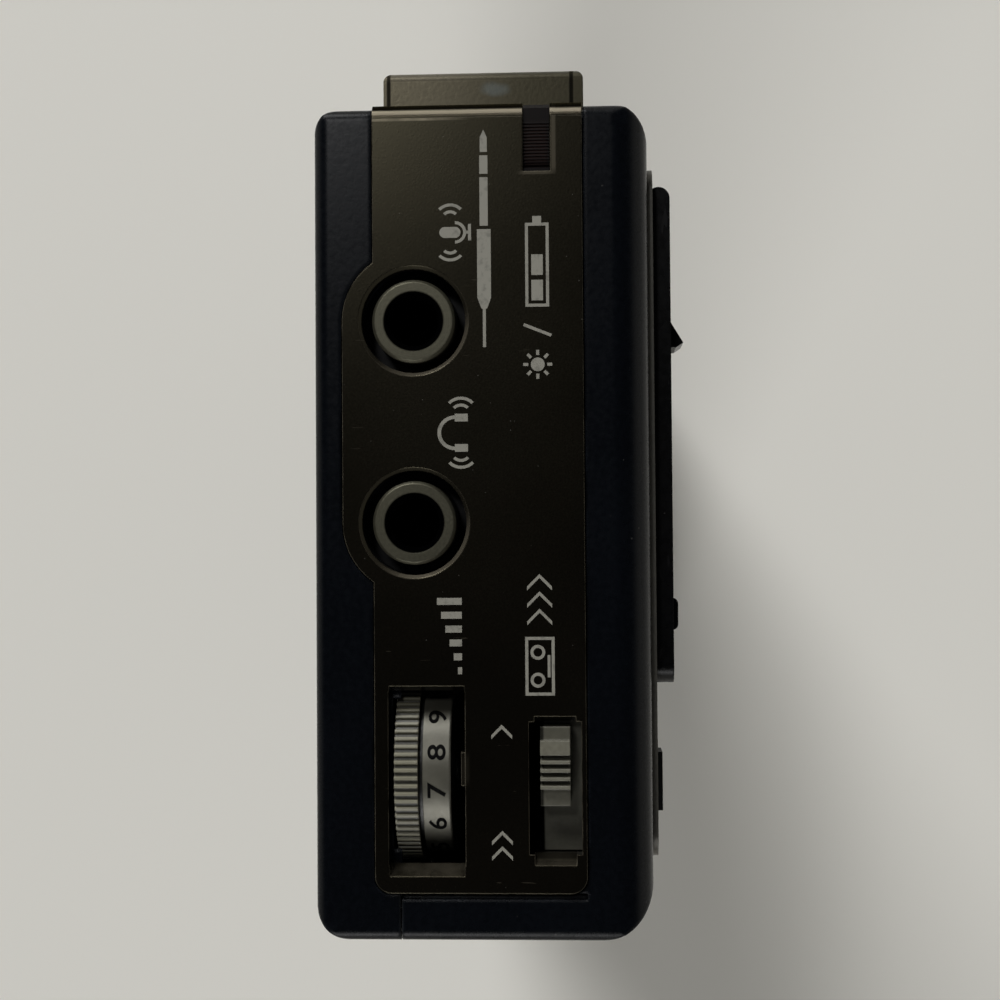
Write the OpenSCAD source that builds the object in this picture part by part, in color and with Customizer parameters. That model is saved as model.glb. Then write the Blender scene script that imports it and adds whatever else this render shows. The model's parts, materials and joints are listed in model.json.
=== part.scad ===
// Pocket microcassette recorder, standing on its bottom end.
// X runs to the right seen from the front, Y to the back and Z up the case, all in millimetres.

// Which piece to draw, or all of them

/* [Case] */
// Width of the case, side to side
case_w = 60.6; // [60.6:0.2:64]
// Thickness of the case, front to back
case_t = 24.5; // [24.5:0.25:26]
// Height of the case, end to end
case_h = 120; // [120:0.5:128]
// Wall of the moulded shells
wall = 1.5; // [1.35:0.05:1.6]
// Rounding of the upright front corner on the left
front_left_r = 4.1; // [3:0.1:4.4]
// Rounding of the upright front corner on the right
front_right_r = 2.7; // [2:0.1:3]
// Rounding of the upright rear corner on the right
rear_right_r = 2; // [1.6:0.1:2.6]
// Rounding of the upright rear corner on the left
rear_left_r = 2.8; // [2:0.1:3.2]
// Rounding of the front edge at both ends
front_edge_r = 2.6; // [1.5:0.1:3]
// Rounding of the rear edge at both ends
rear_edge_r = 1.1; // [0.6:0.1:1.3]
// Rounding where the ends meet the sides
side_edge_r = 0.8; // [0.4:0.1:1.2]
// Distance of the parting line from the back
parting_inset = 6.25; // [6.15:0.05:6.35]
// Hairline gap between fixed mouldings
seam = 0.1; // [0.06:0.02:0.14]
// Play between a sliding piece and its opening
slide_gap = 0.15; // [0.1:0.01:0.18]
// Radial play of a shaft in its bore
fit = 0.05; // [0.03:0.01:0.07]
// Outer radius of the screw bosses
boss_r = 2.4; // [2.2:0.1:2.6]
// Distance of the screw bosses from the case sides
boss_inset = 5; // [4.8:0.1:5.3]
// Height of the lower pair of case screws
boss_low_z = 7; // [6:0.5:10]
// Clearance between the upper screw bosses and the deck plate
boss_deck_gap = 1.05; // [0.8:0.05:1.4]
// Shank radius of the case screws
screw_r = 0.95; // [0.8:0.05:1.05]
// Head radius of the case screws
screw_head_r = 1.9; // [1.7:0.05:2]
// Depth of the wells the case screws sit in
screw_well = 2.2; // [1.8:0.1:2.6]
// How far the screw heads lie below the back
screw_sink = 0.8; // [0.6:0.05:1]
// Reach of the case screws past the parting line
screw_grip = 10.3; // [9:0.1:10.4]

/* [Trim panel] */
// Thickness of the bronze panel
panel_t = 1.3; // [1.2:0.05:1.4]
// How far the panel stands proud of the shells
panel_proud = 0.25; // [0.15:0.05:0.35]
// From the front of the case to the panel
panel_front_inset = 4.8; // [4.75:0.05:4.9]
// From the back of the case to the panel
panel_rear_inset = 4.4; // [4.25:0.05:4.55]
// From the left side, and from the bottom, to the ends of the panel
panel_end_inset = 3.5; // [3.2:0.1:3.8]
// Rounding of the panel corners
panel_corner_r = 1.2; // [0.6:0.1:1.6]
// Rounding of the bend over the right edge
panel_bend_r = 0.9; // [0.6:0.1:1.1]
// Thickness of the ledges the panel rests on
ledge_t = 1.2; // [1:0.1:1.3]
// Width of the ledges under the panel edge
ledge_w = 1.7; // [1.4:0.1:1.8]
// Depth of the decorative line near the bend
panel_line = 0.15; // [0.1:0.05:0.25]

/* [Jacks] */
// Distance between the two jacks
jack_pitch = 14.7; // [14.2:0.1:15]
// From the back of the case to the jack centres
jack_rear_inset = 7.35; // [7.3:0.05:7.4]
// From the right side to the microphone jack
mic_right_inset = 15.7; // [15.2:0.1:16.1]
// Radius of the panel bulge round each jack
jack_bump_r = 5.2; // [4.9:0.1:5.3]
// Radius of the panel holes at the jacks
jack_hole_r = 3.8; // [3.5:0.1:4]
// Outer radius of a jack collar
bushing_r = 3.05; // [2.8:0.05:3.2]
// Length of a jack collar
bushing_l = 4; // [3.6:0.1:4.4]
// Radius of the plug bore
jack_bore_r = 1.8; // [1.78:0.01:1.85]
// Radius of the flared mouth of a jack
jack_mouth_r = 2.2; // [2:0.05:2.4]
// Depth of the flare
jack_mouth_d = 0.4; // [0.3:0.05:0.6]
// Depth a plug goes in
jack_depth = 14; // [13:0.5:14.5]
// Width of a jack housing
housing_w = 7; // [6.6:0.1:7.4]
// Depth of a jack housing, front to back
housing_d = 5.9; // [5.7:0.05:6]

/* [Volume wheel] */
// Radius of the knurled rim
wheel_r = 7; // [6.8:0.05:7.2]
// Radius of the numbered band
band_r = 6.55; // [6.3:0.05:6.65]
// Width of the knurled rim
rim_w = 2; // [1.8:0.05:2.1]
// Width of the numbered band
band_w = 2.05; // [1.9:0.05:2.05]
// Depth and width of the groove between them
wheel_groove = 0.3; // [0.2:0.05:0.4]
// How far the rim stands out of the panel
wheel_proud = 0.6; // [0.4:0.05:0.8]
// From the back of the case to the rim
wheel_rear_inset = 5.85; // [5.8:0.05:5.9]
// From the left side to the wheel centre
wheel_left_inset = 11.95; // [11.7:0.05:12.2]
// Length of the wheel slot
wheel_slot_l = 12.9; // [12.6:0.1:13.2]
// Play in front of the band in the slot
wheel_slot_front = 1.05; // [0.8:0.05:1.2]
// Play behind the rim in the slot
wheel_slot_rear = 0.45; // [0.4:0.05:0.6]
// Length of the slope at the left end of the slots
slot_bevel = 0.8; // [0.5:0.1:1]
// Length of the short slope at their right end
slot_lip = 0.4; // [0.2:0.05:0.5]
// Number of ribs round the rim
knurl_count = 76; // [60:2:84]
// Height of those ribs
knurl_depth = 0.22; // [0.15:0.01:0.3]
// Radius of the potentiometer body
pot_r = 3.6; // [3.3:0.1:3.7]
// Radius of the potentiometer shaft
pot_shaft_r = 1.45; // [1.2:0.05:1.7]

/* [Speed switch] */
// From the left side to the right end of the slot
speed_left_inset = 16.2; // [15.9:0.1:16.5]
// From the front of the case to the slot middle
speed_front_inset = 7.05; // [7:0.05:7.1]
// Length of the slot
speed_slot_l = 9.9; // [9.7:0.1:10.1]
// Width of the slot
speed_slot_w = 3.8; // [3.6:0.05:3.85]
// Length of the knob
knob_l = 5.7; // [5.5:0.1:5.9]
// Width of the knob
knob_w = 2.15; // [2:0.05:2.3]
// Travel of the knob
speed_travel = 3; // [2.6:0.1:3.2]
// Gap between the knob at rest and the slot end
knob_rest_gap = 0.75; // [0.7:0.05:0.9]
// Height of the knob ribs above the panel
knob_proud = 0.5; // [0.3:0.05:0.7]
// Pitch of the ribs on the knob
knob_rib_pitch = 0.6; // [0.5:0.02:0.62]

/* [Indicator] */
// From the front of the case to the indicator middle
led_front_inset = 8.1; // [8.05:0.05:8.2]
// Width of the indicator window
led_w = 2; // [1.8:0.05:2.1]
// Length of the window on the top end
led_l = 4.9; // [4.6:0.1:5.2]
// Length of the window down the side
led_drop = 3; // [2.6:0.1:3.4]
// Pitch of the fine ribs of the lens
led_rib = 0.24; // [0.2:0.01:0.3]

/* [Cassette bay] */
// From the left side to the lid, which leaves the width of the cassette
lid_left_inset = 18.1; // [17.8:0.1:18.4]
// Length of the cassette
tape_l = 50.2; // [49.8:0.1:50.4]
// Play round the cassette
bay_gap = 0.8; // [0.7:0.05:0.9]
// How far the lid laps over the edge of its opening
lid_lap = 1.35; // [1.2:0.05:1.5]
// From the right side to the lid
lid_right_inset = 5.1; // [5:0.1:5.3]
// From the top end to the lid
lid_top_inset = 5; // [4.8:0.1:5.2]
// Thickness of the lid
lid_t = 1.7; // [1.6:0.05:1.8]
// Gap under the closed lid
lid_gap = 0.1; // [0.08:0.01:0.15]
// Length of each hinge ear
ear_l = 3; // [2.6:0.1:3.4]
// Radius of the hinge pins
hinge_pin_r = 0.45; // [0.4:0.01:0.48]
// Length of the window in the lid
window_l = 34; // [30:0.5:37]
// Width of the window in the lid
window_w = 20; // [18:0.5:21.5]
// Thickness of the clear window
window_t = 0.8; // [0.7:0.05:0.9]
// Step the window is held by
window_step = 0.8; // [0.6:0.05:1]
// Width of the wall frame behind the lid
well_t = 0.9; // [0.8:0.05:1]
// Travel of the lid latch
latch_travel = 1.2; // [1:0.05:1.3]
// Length of the latch along the lid
latch_l = 12; // [11:0.5:14]
// Height of the latch above the lid
latch_proud = 0.45; // [0.35:0.05:0.6]
// Height of the finger ridge on the latch
latch_ridge = 1; // [0.8:0.05:1.1]

/* [Front plate] */
// Thickness of the front plate
plate_t = 0.45; // [0.4:0.05:0.5]
// From the case sides to the plate
plate_side_inset = 4.3; // [3.9:0.1:4.7]
// From the case ends to the plate
plate_end_inset = 3.4; // [3.2:0.1:3.8]
// Corner rounding of the plate
plate_corner_r = 2; // [1:0.1:3]

/* [Thumb slider] */
// Width of the slider
slider_w = 15.2; // [14.8:0.1:15.4]
// Length of the slider
slider_l = 24; // [22:0.5:25]
// Thickness of the slider knob
slider_t = 3.2; // [2.8:0.1:3.6]
// From the top end to the slider at rest
slider_top_inset = 5; // [4.8:0.1:5.4]
// Travel of the slider
slider_travel = 6; // [5.6:0.1:6]
// Corner rounding of the slider
slider_r = 0.8; // [0.5:0.1:1]
// Thickness of the dust shield under it
shield_t = 0.5; // [0.4:0.05:0.6]
// Number of grip grooves
grip_count = 7; // [5:1:8]
// Pitch of the grip grooves
grip_pitch = 1.7; // [1.5:0.1:1.8]
// Width of the stem through the side
stem_w = 3; // [2.6:0.1:3.2]
// Length of that stem
stem_l = 8; // [7:0.5:8.5]

/* [Transport] */
// From the front of the case to the deck plate
deck_depth = 9.45; // [9.4:0.05:9.55]
// Thickness of the deck plate
deck_t = 1; // [0.9:0.05:1.05]
// Distance between the two spindles
reel_pitch = 22.6; // [22:0.1:23]
// Spindle axis from the cassette edge at the heads
reel_in = 18.5; // [18.2:0.1:18.8]
// Radius of the spindle shafts
spindle_r = 1; // [0.9:0.05:1.1]
// Radius of the spindle hubs
hub_r = 2.1; // [1.9:0.05:2.2]
// Reach of the spindle fins
fin_r = 2.8; // [2.6:0.05:3]
// Radius of the capstan
capstan_r = 0.75; // [0.7:0.05:0.85]
// Capstan axis from the cassette edge at the heads
capstan_in = 3.6; // [3.4:0.1:3.8]
// Capstan axis above the middle of the cassette
capstan_up = 13; // [12.8:0.1:13.2]
// Radius of the flywheel
flywheel_r = 11; // [10.6:0.1:11.1]
// Thickness of the flywheel rim
flywheel_t = 2.8; // [2.6:0.05:2.85]
// Radius of the friction hub of the flywheel
drive_hub_r = 2.2; // [2:0.05:2.4]
// Radius of the take-up wheel
takeup_r = 6; // [5.8:0.05:6.1]
// Thickness of the idler and take-up wheels
idler_t = 2; // [1.8:0.05:2.05]
// Radius of the motor can
motor_r = 7.5; // [7.2:0.05:7.5]
// From the lower edge of the deck plate to the motor can
motor_inset = 0.55; // [0.4:0.05:0.7]
// Radius of the motor pulley
pulley_r = 1.5; // [1.3:0.05:1.7]
// Thickness of the drive belt
belt_t = 0.6; // [0.5:0.05:0.6]
// Throw of the head carriage
carriage_throw = 2.4; // [2.3:0.02:2.4]
// Radius of the pinch roller
roller_r = 3.2; // [3:0.05:3.25]

/* [Counter] */
// Radius of the number wheels
counter_r = 3.2; // [3:0.05:3.25]
// Width of one number wheel
counter_w = 2.4; // [2.2:0.05:2.45]
// From the top of the lid down to the counter axis
counter_drop = 6.7; // [6.6:0.05:6.9]
// Height of the counter window
counter_window_h = 4; // [3.6:0.1:4.4]
// Width of the reset button
reset_w = 4.8; // [4.4:0.1:5]
// Height of the reset button
reset_h = 3; // [2.6:0.1:3.2]
// Travel of the reset button
reset_travel = 1; // [0.8:0.05:1.2]

/* [Sound] */
// Radius of the speaker
speaker_r = 18; // [17:0.1:18.2]
// How far the speaker sits below the middle of the plate under the lid
speaker_sink = 0.95; // [0.5:0.05:1.4]
// Radius of the round grille
grille_r = 16.9; // [16.4:0.1:17]
// Rings of holes in the grille
grille_rings = 5; // [4:1:5]
// Spacing of the rings of holes
grille_pitch = 2.7; // [2.4:0.05:2.9]
// Radius of each grille hole
grille_hole_r = 0.75; // [0.6:0.05:0.85]
// Radius of the microphone capsule
mic_r = 3; // [2.7:0.05:3.1]

/* [Battery bay] */
// Diameter of a cell
cell_d = 14.5; // [14.2:0.05:14.5]
// Clearance between the battery bay and the deck plate, which leaves the length of the cells
bay_deck_gap = 1.05; // [0.8:0.05:1.2]
// Wall of the battery bay
bay_t = 1; // [0.9:0.05:1.1]
// Distance between the cell axes
cell_pitch = 15; // [14.8:0.05:15.2]
// Space left for the contacts at each end
contact_gap = 1.75; // [1.6:0.05:1.8]
// Thickness of the battery door
door_t = 1.4; // [1.3:0.02:1.44]
// Radius of the door hinge pin
door_pin_r = 0.35; // [0.3:0.01:0.36]

/* [Hidden] */
$fn = 64;
over = 1;
x_right = case_w / 2;
x_left = -x_right;
y_back = case_t / 2;
y_front = -y_back;
in_right = x_right - wall;
in_left = x_left + wall;
in_back = y_back - wall;
in_front = y_front + wall;
in_top = case_h - wall;
cavity_r = [2, 2, 0.5, 0.5];
parting_y = y_back - parting_inset;
split_front = parting_y - seam / 2;
split_rear = parting_y + seam / 2;

panel_top = case_h + panel_proud;
panel_side = x_right + panel_proud;
panel_under = panel_top - panel_t;
panel_inner = panel_side - panel_t;
panel_front = y_front + panel_front_inset;
panel_rear = y_back - panel_rear_inset;
panel_left = x_left + panel_end_inset;
panel_bottom = panel_end_inset;
shell_step = 0.35;
ledge_top = panel_under - seam;
ledge_side = panel_inner - seam;

mic_x = x_right - mic_right_inset;
ear_x = mic_x - jack_pitch;
jack_y = y_back - jack_rear_inset;
jack_top = panel_top - panel_proud;
jack_low = jack_top - jack_depth;
housing_top = jack_top - bushing_l;
collar_edge = 0.2;
housing_shift = 0.65;
housing_front = jack_y - housing_d / 2 + housing_shift;
housing_floor = 0.7;
dust_disc_t = 0.6;

wheel_x = x_left + wheel_left_inset;
wheel_z = panel_top + wheel_proud - wheel_r;
wheel_rear = y_back - wheel_rear_inset;
wheel_mid = wheel_rear - rim_w;
wheel_front = wheel_mid - band_w;
wheel_edge = wheel_front - wheel_slot_front;
index_x = wheel_x + 0.45;
index_l = 2.4;
index_w = 0.3;

speed_y = y_front + speed_front_inset;
speed_right = x_left + speed_left_inset;
speed_left = speed_right - speed_slot_l;
knob_right = speed_right - knob_rest_gap;
knob_left = knob_right - knob_l;
skirt_top = panel_under - 0.95;
skirt_t = 0.7;
skirt_reach = 3.5;
skirt_cover = 2.5;
skirt_left = knob_left - skirt_reach;
skirt_right = knob_right + skirt_cover;
switch_top = skirt_top - skirt_t - 0.3;
switch_h = 4;
flange_t = 0.8;
flange_left = speed_left - 0.6;
flange_right = skirt_right + 1.8;
post_w = 0.9;
lever_w = 1.2;
ear_y = speed_y + speed_slot_w / 2 + 0.7;

led_y = y_front + led_front_inset;
led_left = x_right - led_l;
lead_t = 0.4;

lid_right = x_right - lid_right_inset;
bay_right = lid_right - lid_lap;
lid_left = x_left + lid_left_inset;
bay_left = lid_left + lid_lap;
lid_top = case_h - lid_top_inset;
bay_top = lid_top - lid_lap;
bay_bottom = bay_top - tape_l - 2 * bay_gap;
lid_bottom = bay_bottom - lid_lap;
lid_rear = y_front - lid_gap;
lid_front = lid_rear - lid_t;
lid_axis = [lid_right - lid_t / 2, lid_rear - lid_t / 2];
lid_mid_x = (bay_left + bay_right) / 2;
lid_mid_z = (bay_top + bay_bottom) / 2;
tape_left = bay_left + bay_gap;
window_x = lid_mid_x + 2.5;
lid_corner_r = 1.5;
lid_rim_h = 1.2;
ear_gap = 0.2;
pin_stop = 0.8;
catch_x = lid_mid_x + 6.9;
catch_h = 1.1;
catch_l = 4;
ear_at = [lid_bottom + ear_l, lid_top - 2 * ear_l];
latch_left = lid_left + 0.2;
latch_step = lid_left + 3.1;
latch_right = lid_left + 5.8;
latch_stem_l = 2;
latch_stem_x = lid_left + 2.4;
tongue_t = 0.3;
tongue_w = 6;
latch_stem_w = tongue_w - 2;
keeper_left = lid_left - 6.4;
keeper_w = 10;
lid_edge = 0.25;
keeper_proud = plate_t + 0.35;

plate_left = x_left + plate_side_inset + 1;
plate_right = x_right - plate_side_inset + 0.5;
plate_low = plate_end_inset;
plate_high = case_h - plate_end_inset;
plate_front = y_front - plate_t;
speaker_z = (plate_low + lid_bottom) / 2 - speaker_sink;

slide_y = 0;
shield_x = panel_side + 0.1;
slider_x = shield_x + shield_t;
shield_lap = 0.35;
grip_depth = 0.5;
slider_out = slider_x + slider_t;
slider_top = case_h - slider_top_inset;
slider_low = slider_top - slider_l;
slider_mid = (slider_top + slider_low) / 2;

deck_front = y_front + deck_depth;
deck_rear = deck_front + deck_t;
deck_left = in_left + 0.7;
deck_right = in_right - 0.5;
deck_low = bay_bottom - well_t - 1.5;
deck_high = bay_top + well_t;
deck_notch = 8.5;
boss_high_z = deck_low - boss_r - boss_deck_gap;
boss_at = [for (x = [-1, 1], z = [boss_low_z, boss_high_z]) [x * (x_right - boss_inset), z]];
bar_front = deck_rear + 0.2;
bar_t = 0.8;
bar_rear = bar_front + bar_t;
tab_x = panel_inner - 2.05;
tab_t = 0.9;
riser_w = 2.7;
wheel_layer = bar_rear + 0.3;
wheel_layer_end = wheel_layer + flywheel_t;
idler_layer = wheel_layer_end + 0.3;
idler_layer_end = idler_layer + idler_t;
bracket_front = idler_layer_end + 0.4;
bracket_t = 0.8;
reel_x = tape_left + reel_in;
takeup_z = lid_mid_z + reel_pitch / 2;
supply_z = lid_mid_z - reel_pitch / 2;
capstan_x = tape_left + capstan_in;
capstan_z = lid_mid_z + capstan_up;
motor_x = in_left + motor_r + 0.5;
motor_z = deck_low + motor_r + motor_inset;
motor_shaft_r = 0.5;
neck_r = 1.8;
can_edge = 0.8;
pulley_lip = 0.5;
reel_end = in_front + 0.9;
reel_rest_r = 4.6;
fin_t = 0.8;
contact_play = 0.05;
drive_line = [reel_x - capstan_x, takeup_z - capstan_z];
drive_gap = norm(drive_line);
idler_r = (drive_gap - drive_hub_r - takeup_r) / 2 - contact_play;
idler_at = [capstan_x, capstan_z] + drive_line / drive_gap * (drive_hub_r + contact_play + idler_r);
bearing_r = 1.6;
bearing_nose = 1.3;
idler_pin_r = 0.6;
bracket_post_r = 0.9;
bracket_arm_r = 1.6;
bracket_hub_r = 2;
post_ring = flywheel_r + belt_t + bracket_post_r + 0.75;
bracket_posts = [for (p = [[post_ring, 166], [post_ring, 318], [post_ring + 3.75, 206.5]])
  [capstan_x + p[0] * cos(p[1]), capstan_z + p[0] * sin(p[1])]];

carriage_rear = deck_front - 0.2;
carriage_t = 0.6;
carriage_front = carriage_rear - carriage_t;
carriage_left = bay_left - 6.8;
carriage_right = bay_left - 0.25;
carriage_low = lid_mid_z - 8.3;
carriage_high = capstan_z + 4;
pin_r = 0.7;
pin_x = carriage_left + 2.6;
pin_z = lid_mid_z - 0.75;
cam_edge = 2.2;
arm_low = pin_z - 0.5;
arm_h = 3.2;
guide_r = 0.8;
guide_x = carriage_left + 4.1;
guide_at = [carriage_low + 2, capstan_z - 3.8];
roller_pin_r = 0.6;
roller_x = capstan_x - capstan_r - roller_r - carriage_throw - contact_play;
roller_rear = carriage_front - 0.8;
roller_front = in_front + 1.5;
lug_front = in_front + 0.5;
lug_t = 0.6;
lug_half = 2.5;
head_front = in_front + 1.3;

counter_y = in_front + 0.5 + counter_r;
counter_z = lid_top - counter_drop;
counter_left = plate_left + 0.75;
counter_gap = 0.3;
counter_side = 0.6;
counter_first = counter_left + counter_side + counter_gap;
counter_step = counter_w + counter_gap;
counter_right = counter_first + 3 * counter_step + counter_side;
counter_pin_r = 0.6;
counter_open_left = counter_first + 0.3;
counter_open_right = counter_first + 3 * counter_step - counter_gap - 0.3;
lens_step = 0.4;
lens_t = 1.2;
reset_left = counter_left + 0.6;
reset_lip = 0.6;
reset_low = counter_z - counter_r - 6.2;
mic_h = 2.9;
mic_at = [counter_left + 3.4, counter_z - counter_r - 13.5];
post_r = 1.7;
post_inset = 1.6;
post_rise = [4.5, 24.5, 49];
deck_post_at = [[deck_right - post_inset + 0.2, deck_low + post_rise[0]],
  [deck_left + post_inset, deck_low + post_rise[1]], [deck_left + post_inset, deck_low + post_rise[2]]];
deck_screw_r = 0.7;
deck_screw_grip = 4;
deck_head_r = 1.5;
deck_head_h = 0.9;
screw_end_gap = 0.5;

bay_half = cell_pitch / 2 + cell_d / 2 + 1.05;
bay_floor = wall + 1.9;
bay_roof = deck_low - bay_deck_gap - bay_t;
cell_y = y_back - door_t - 0.3 - cell_d / 2;
bay_front = cell_y - cell_d / 2 - 0.2;
cell_low = bay_floor + contact_gap;
cell_edge = 0.4;
nub_r = 2.7;
nub_h = 1.2;
leaf_w = 6;
leaf_l = 10;
leaf_t = 0.4;
arch_r = 8.2;
arch_t = 0.3;
arch_rise = contact_gap - 0.15;
cell_high = bay_roof - contact_gap;
door_gap = 0.2;
door_rib_l = 12;
door_rib_pitch = 1.4;
door_rib_h = 0.35;
cell_rib_t = 0.8;
cell_rib_h = 2.6;
door_axis = [y_back - door_t / 2, bay_roof - door_gap - door_t / 2];
speaker_back = bay_front - bay_t - 0.2;
speaker_lip = 2;
basket_t = 0.5;
basket_front = in_front + 0.4;
throat_r = 10;
pole_r = 3;
magnet_r = 8;
magnet_front = speaker_back - 1.4;
cone_t = 0.3;
cone_r = 8.5;
dome_r = 4;
cone_back = magnet_front - 1.1;
flare = 0.25;

board_inset = 3.65;
board_front = y_back - board_inset;
board_t = 1;
board_w = case_w - 2 * (wall + 2);
board_low = deck_low + 0.5;
board_high = jack_low - 1.5;
board_h = board_high - board_low;
board_post_r = 1.5;
chip = [10, 1.8, 6.5];
small_chip = [6, 1.6, 5];
resistor = [1.6, 0.7, 3.2];
can_r = 1.55;
can_h = 2.3;

shell_color = [0.09, 0.1, 0.12];
bronze = [0.24, 0.21, 0.16];
steel = [0.7, 0.7, 0.68];
black = [0.06, 0.06, 0.07];
grey = [0.45, 0.44, 0.4];

// Block between two opposite corners
module block(lo, hi) translate(lo) cube(hi - lo);

// Round rods along each axis
module rod_x(x0, x1, y, z, r) translate([x0, y, z]) rotate([0, 90, 0]) cylinder(h = x1 - x0, r = r);
module rod_y(y0, y1, x, z, r) translate([x, y0, z]) rotate([-90, 0, 0]) cylinder(h = y1 - y0, r = r);
module rod_z(z0, z1, x, y, r) translate([x, y, z0]) cylinder(h = z1 - z0, r = r);

// A flat outline given thickness along one axis
module plate_xy(z0, z1) translate([0, 0, z0]) linear_extrude(z1 - z0) children();
module plate_xz(y0, y1) translate([0, y1, 0]) rotate([90, 0, 0]) linear_extrude(y1 - y0) children();
module plate_yz(x0, x1) translate([x0, 0, 0]) rotate([90, 0, 90]) linear_extrude(x1 - x0) children();

// A profile of radius and depth turned round an axis that runs to the back
module turn_y(x, z) translate([x, 0, z]) rotate([-90, 0, 0]) rotate_extrude() children();

// Rectangle with a radius at each corner, in the order low-low, high-low, high-high, low-high
module rrect(lo, hi, r) {
  c = is_list(r) ? r : [r, r, r, r];
  polygon([[lo.x + c[0], lo.y], [hi.x - c[1], lo.y], [hi.x, lo.y + c[1]], [hi.x, hi.y - c[2]],
    [hi.x - c[2], hi.y], [lo.x + c[3], hi.y], [lo.x, hi.y - c[3]], [lo.x, lo.y + c[0]]]);
  translate([lo.x + c[0], lo.y + c[0]]) circle(c[0]);
  translate([hi.x - c[1], lo.y + c[1]]) circle(c[1]);
  translate([hi.x - c[2], hi.y - c[2]]) circle(c[2]);
  translate([lo.x + c[3], hi.y - c[3]]) circle(c[3]);
}

// Straight slot with round ends between two points
module slot_2d(p, q, r) {
  side = [p.y - q.y, q.x - p.x] / norm(q - p) * r;
  polygon([p + side, p - side, q - side, q + side]);
  translate(p) circle(r);
  translate(q) circle(r);
}

module ring_2d(r, t) difference() {
  circle(r + t);
  circle(r);
}

// Directions out to the two sides of an open belt, seen from the pulley centres
function belt_sides(p, rp, q, rq) = let (along = (q - p) / norm(q - p), lean = (rp - rq) / norm(q - p),
  across = sqrt(1 - lean * lean) * [-along.y, along.x]) [lean * along + across, lean * along - across];

// The part of a belt that lies on each pulley
module belt_arcs(p, rp, q, rq, t) {
  side = belt_sides(p, rp, q, rq);
  fan = 3 * rp;
  difference() {
    translate(p) ring_2d(rp, t);
    polygon([p, p + fan * side[0], p + fan * (side[0] + side[1]) * 3, p + fan * side[1]]);
  }
  intersection() {
    translate(q) ring_2d(rq, t);
    polygon([q, q + fan * side[0], q + fan * (side[0] + side[1]) * 3, q + fan * side[1]]);
  }
}

// The two straight runs of a belt, a little thinner and lapped into the arcs
module belt_runs(p, rp, q, rq, t) {
  shy = 0.04;
  for (n = belt_sides(p, rp, q, rq)) {
    run = (q + rq * n - p - rp * n) / norm(q + rq * n - p - rp * n);
    polygon([p + (rp + shy) * n - 0.6 * run, q + (rq + shy) * n + 0.3 * run,
      q + (rq + t - shy) * n + 0.3 * run, p + (rp + t - shy) * n - 0.6 * run]);
  }
}

// Whole outside of the case before it is parted
module case_form() intersection() {
  plate_xy(0, case_h) rrect([x_left, y_front], [x_right, y_back],
    [front_left_r, front_right_r, rear_right_r, rear_left_r]);
  plate_yz(x_left, x_right) rrect([y_front, 0], [y_back, case_h],
    [front_edge_r, rear_edge_r, rear_edge_r, front_edge_r]);
  plate_xz(y_front, y_back) rrect([x_left, 0], [x_right, case_h], side_edge_r);
}

module cavity() plate_xy(wall, in_top) rrect([in_left, in_front], [in_right, in_back], cavity_r);

// Plan outline of the trim panel, grown by a gap
module panel_plan(g) {
  rrect([panel_left - g, panel_front - g], [panel_side + panel_corner_r + over, panel_rear + g],
    panel_corner_r);
  translate([ear_x, jack_y]) circle(jack_bump_r + g);
  translate([mic_x, jack_y]) circle(jack_bump_r + g);
  translate([ear_x, jack_y]) square([jack_pitch, jack_bump_r + g]);
}

// Room left in both shells for the trim panel
module panel_zone() {
  plate_xy(in_top - over / 2, case_h + over) panel_plan(seam);
  block([in_right - over / 2, panel_front - seam, panel_bottom - seam],
    [x_right + over, panel_rear + seam, case_h + over]);
}

// Room for the volume wheel and the speed switch in the ledges
module control_room() {
  rod_y(wheel_edge, wheel_rear + 0.25, wheel_x, wheel_z, wheel_r + 0.4);
  block([skirt_left - speed_travel - 0.4, speed_y - speed_slot_w / 2 - 0.7, switch_top - switch_h - over],
    [flange_right + 0.3, speed_y + speed_slot_w / 2 + 0.7, ledge_top + over]);
}

module front_ledges() difference() {
  union() {
    block([in_left - 0.3, panel_front - wall, ledge_top - ledge_t],
      [ledge_side, panel_front + ledge_w, ledge_top]);
    block([in_left - 0.3, panel_front - wall, ledge_top - ledge_t],
      [panel_left + ledge_w, split_front, ledge_top]);
    block([ledge_side - ledge_t, panel_front - wall, panel_bottom - wall],
      [ledge_side, panel_front + ledge_w, ledge_top]);
    block([ledge_side - ledge_t, panel_front - wall, panel_bottom - wall],
      [ledge_side, split_front, panel_bottom + ledge_w]);
  }
  control_room();
}

module rear_ledges() difference() {
  union() {
    block([in_left - 0.3, split_rear, ledge_top - ledge_t], [ledge_side, panel_rear + wall, ledge_top]);
    block([ledge_side - ledge_t, split_rear, panel_bottom - wall],
      [ledge_side, panel_rear + wall, ledge_top]);
  }
  control_room();
  for (x = [mic_x, ear_x]) rod_z(housing_top, case_h, x, jack_y, jack_hole_r);
}

// One of the two eyes on the shell that hold the lid's hinge pin
module lid_ear(z0) {
  rod_z(z0, z0 + ear_l, lid_axis.x, lid_axis.y, lid_t / 2);
  block([lid_axis.x - lid_t / 2, lid_axis.y, z0], [lid_axis.x + lid_t / 2, y_front + wall / 3, z0 + ear_l]);
}

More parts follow.
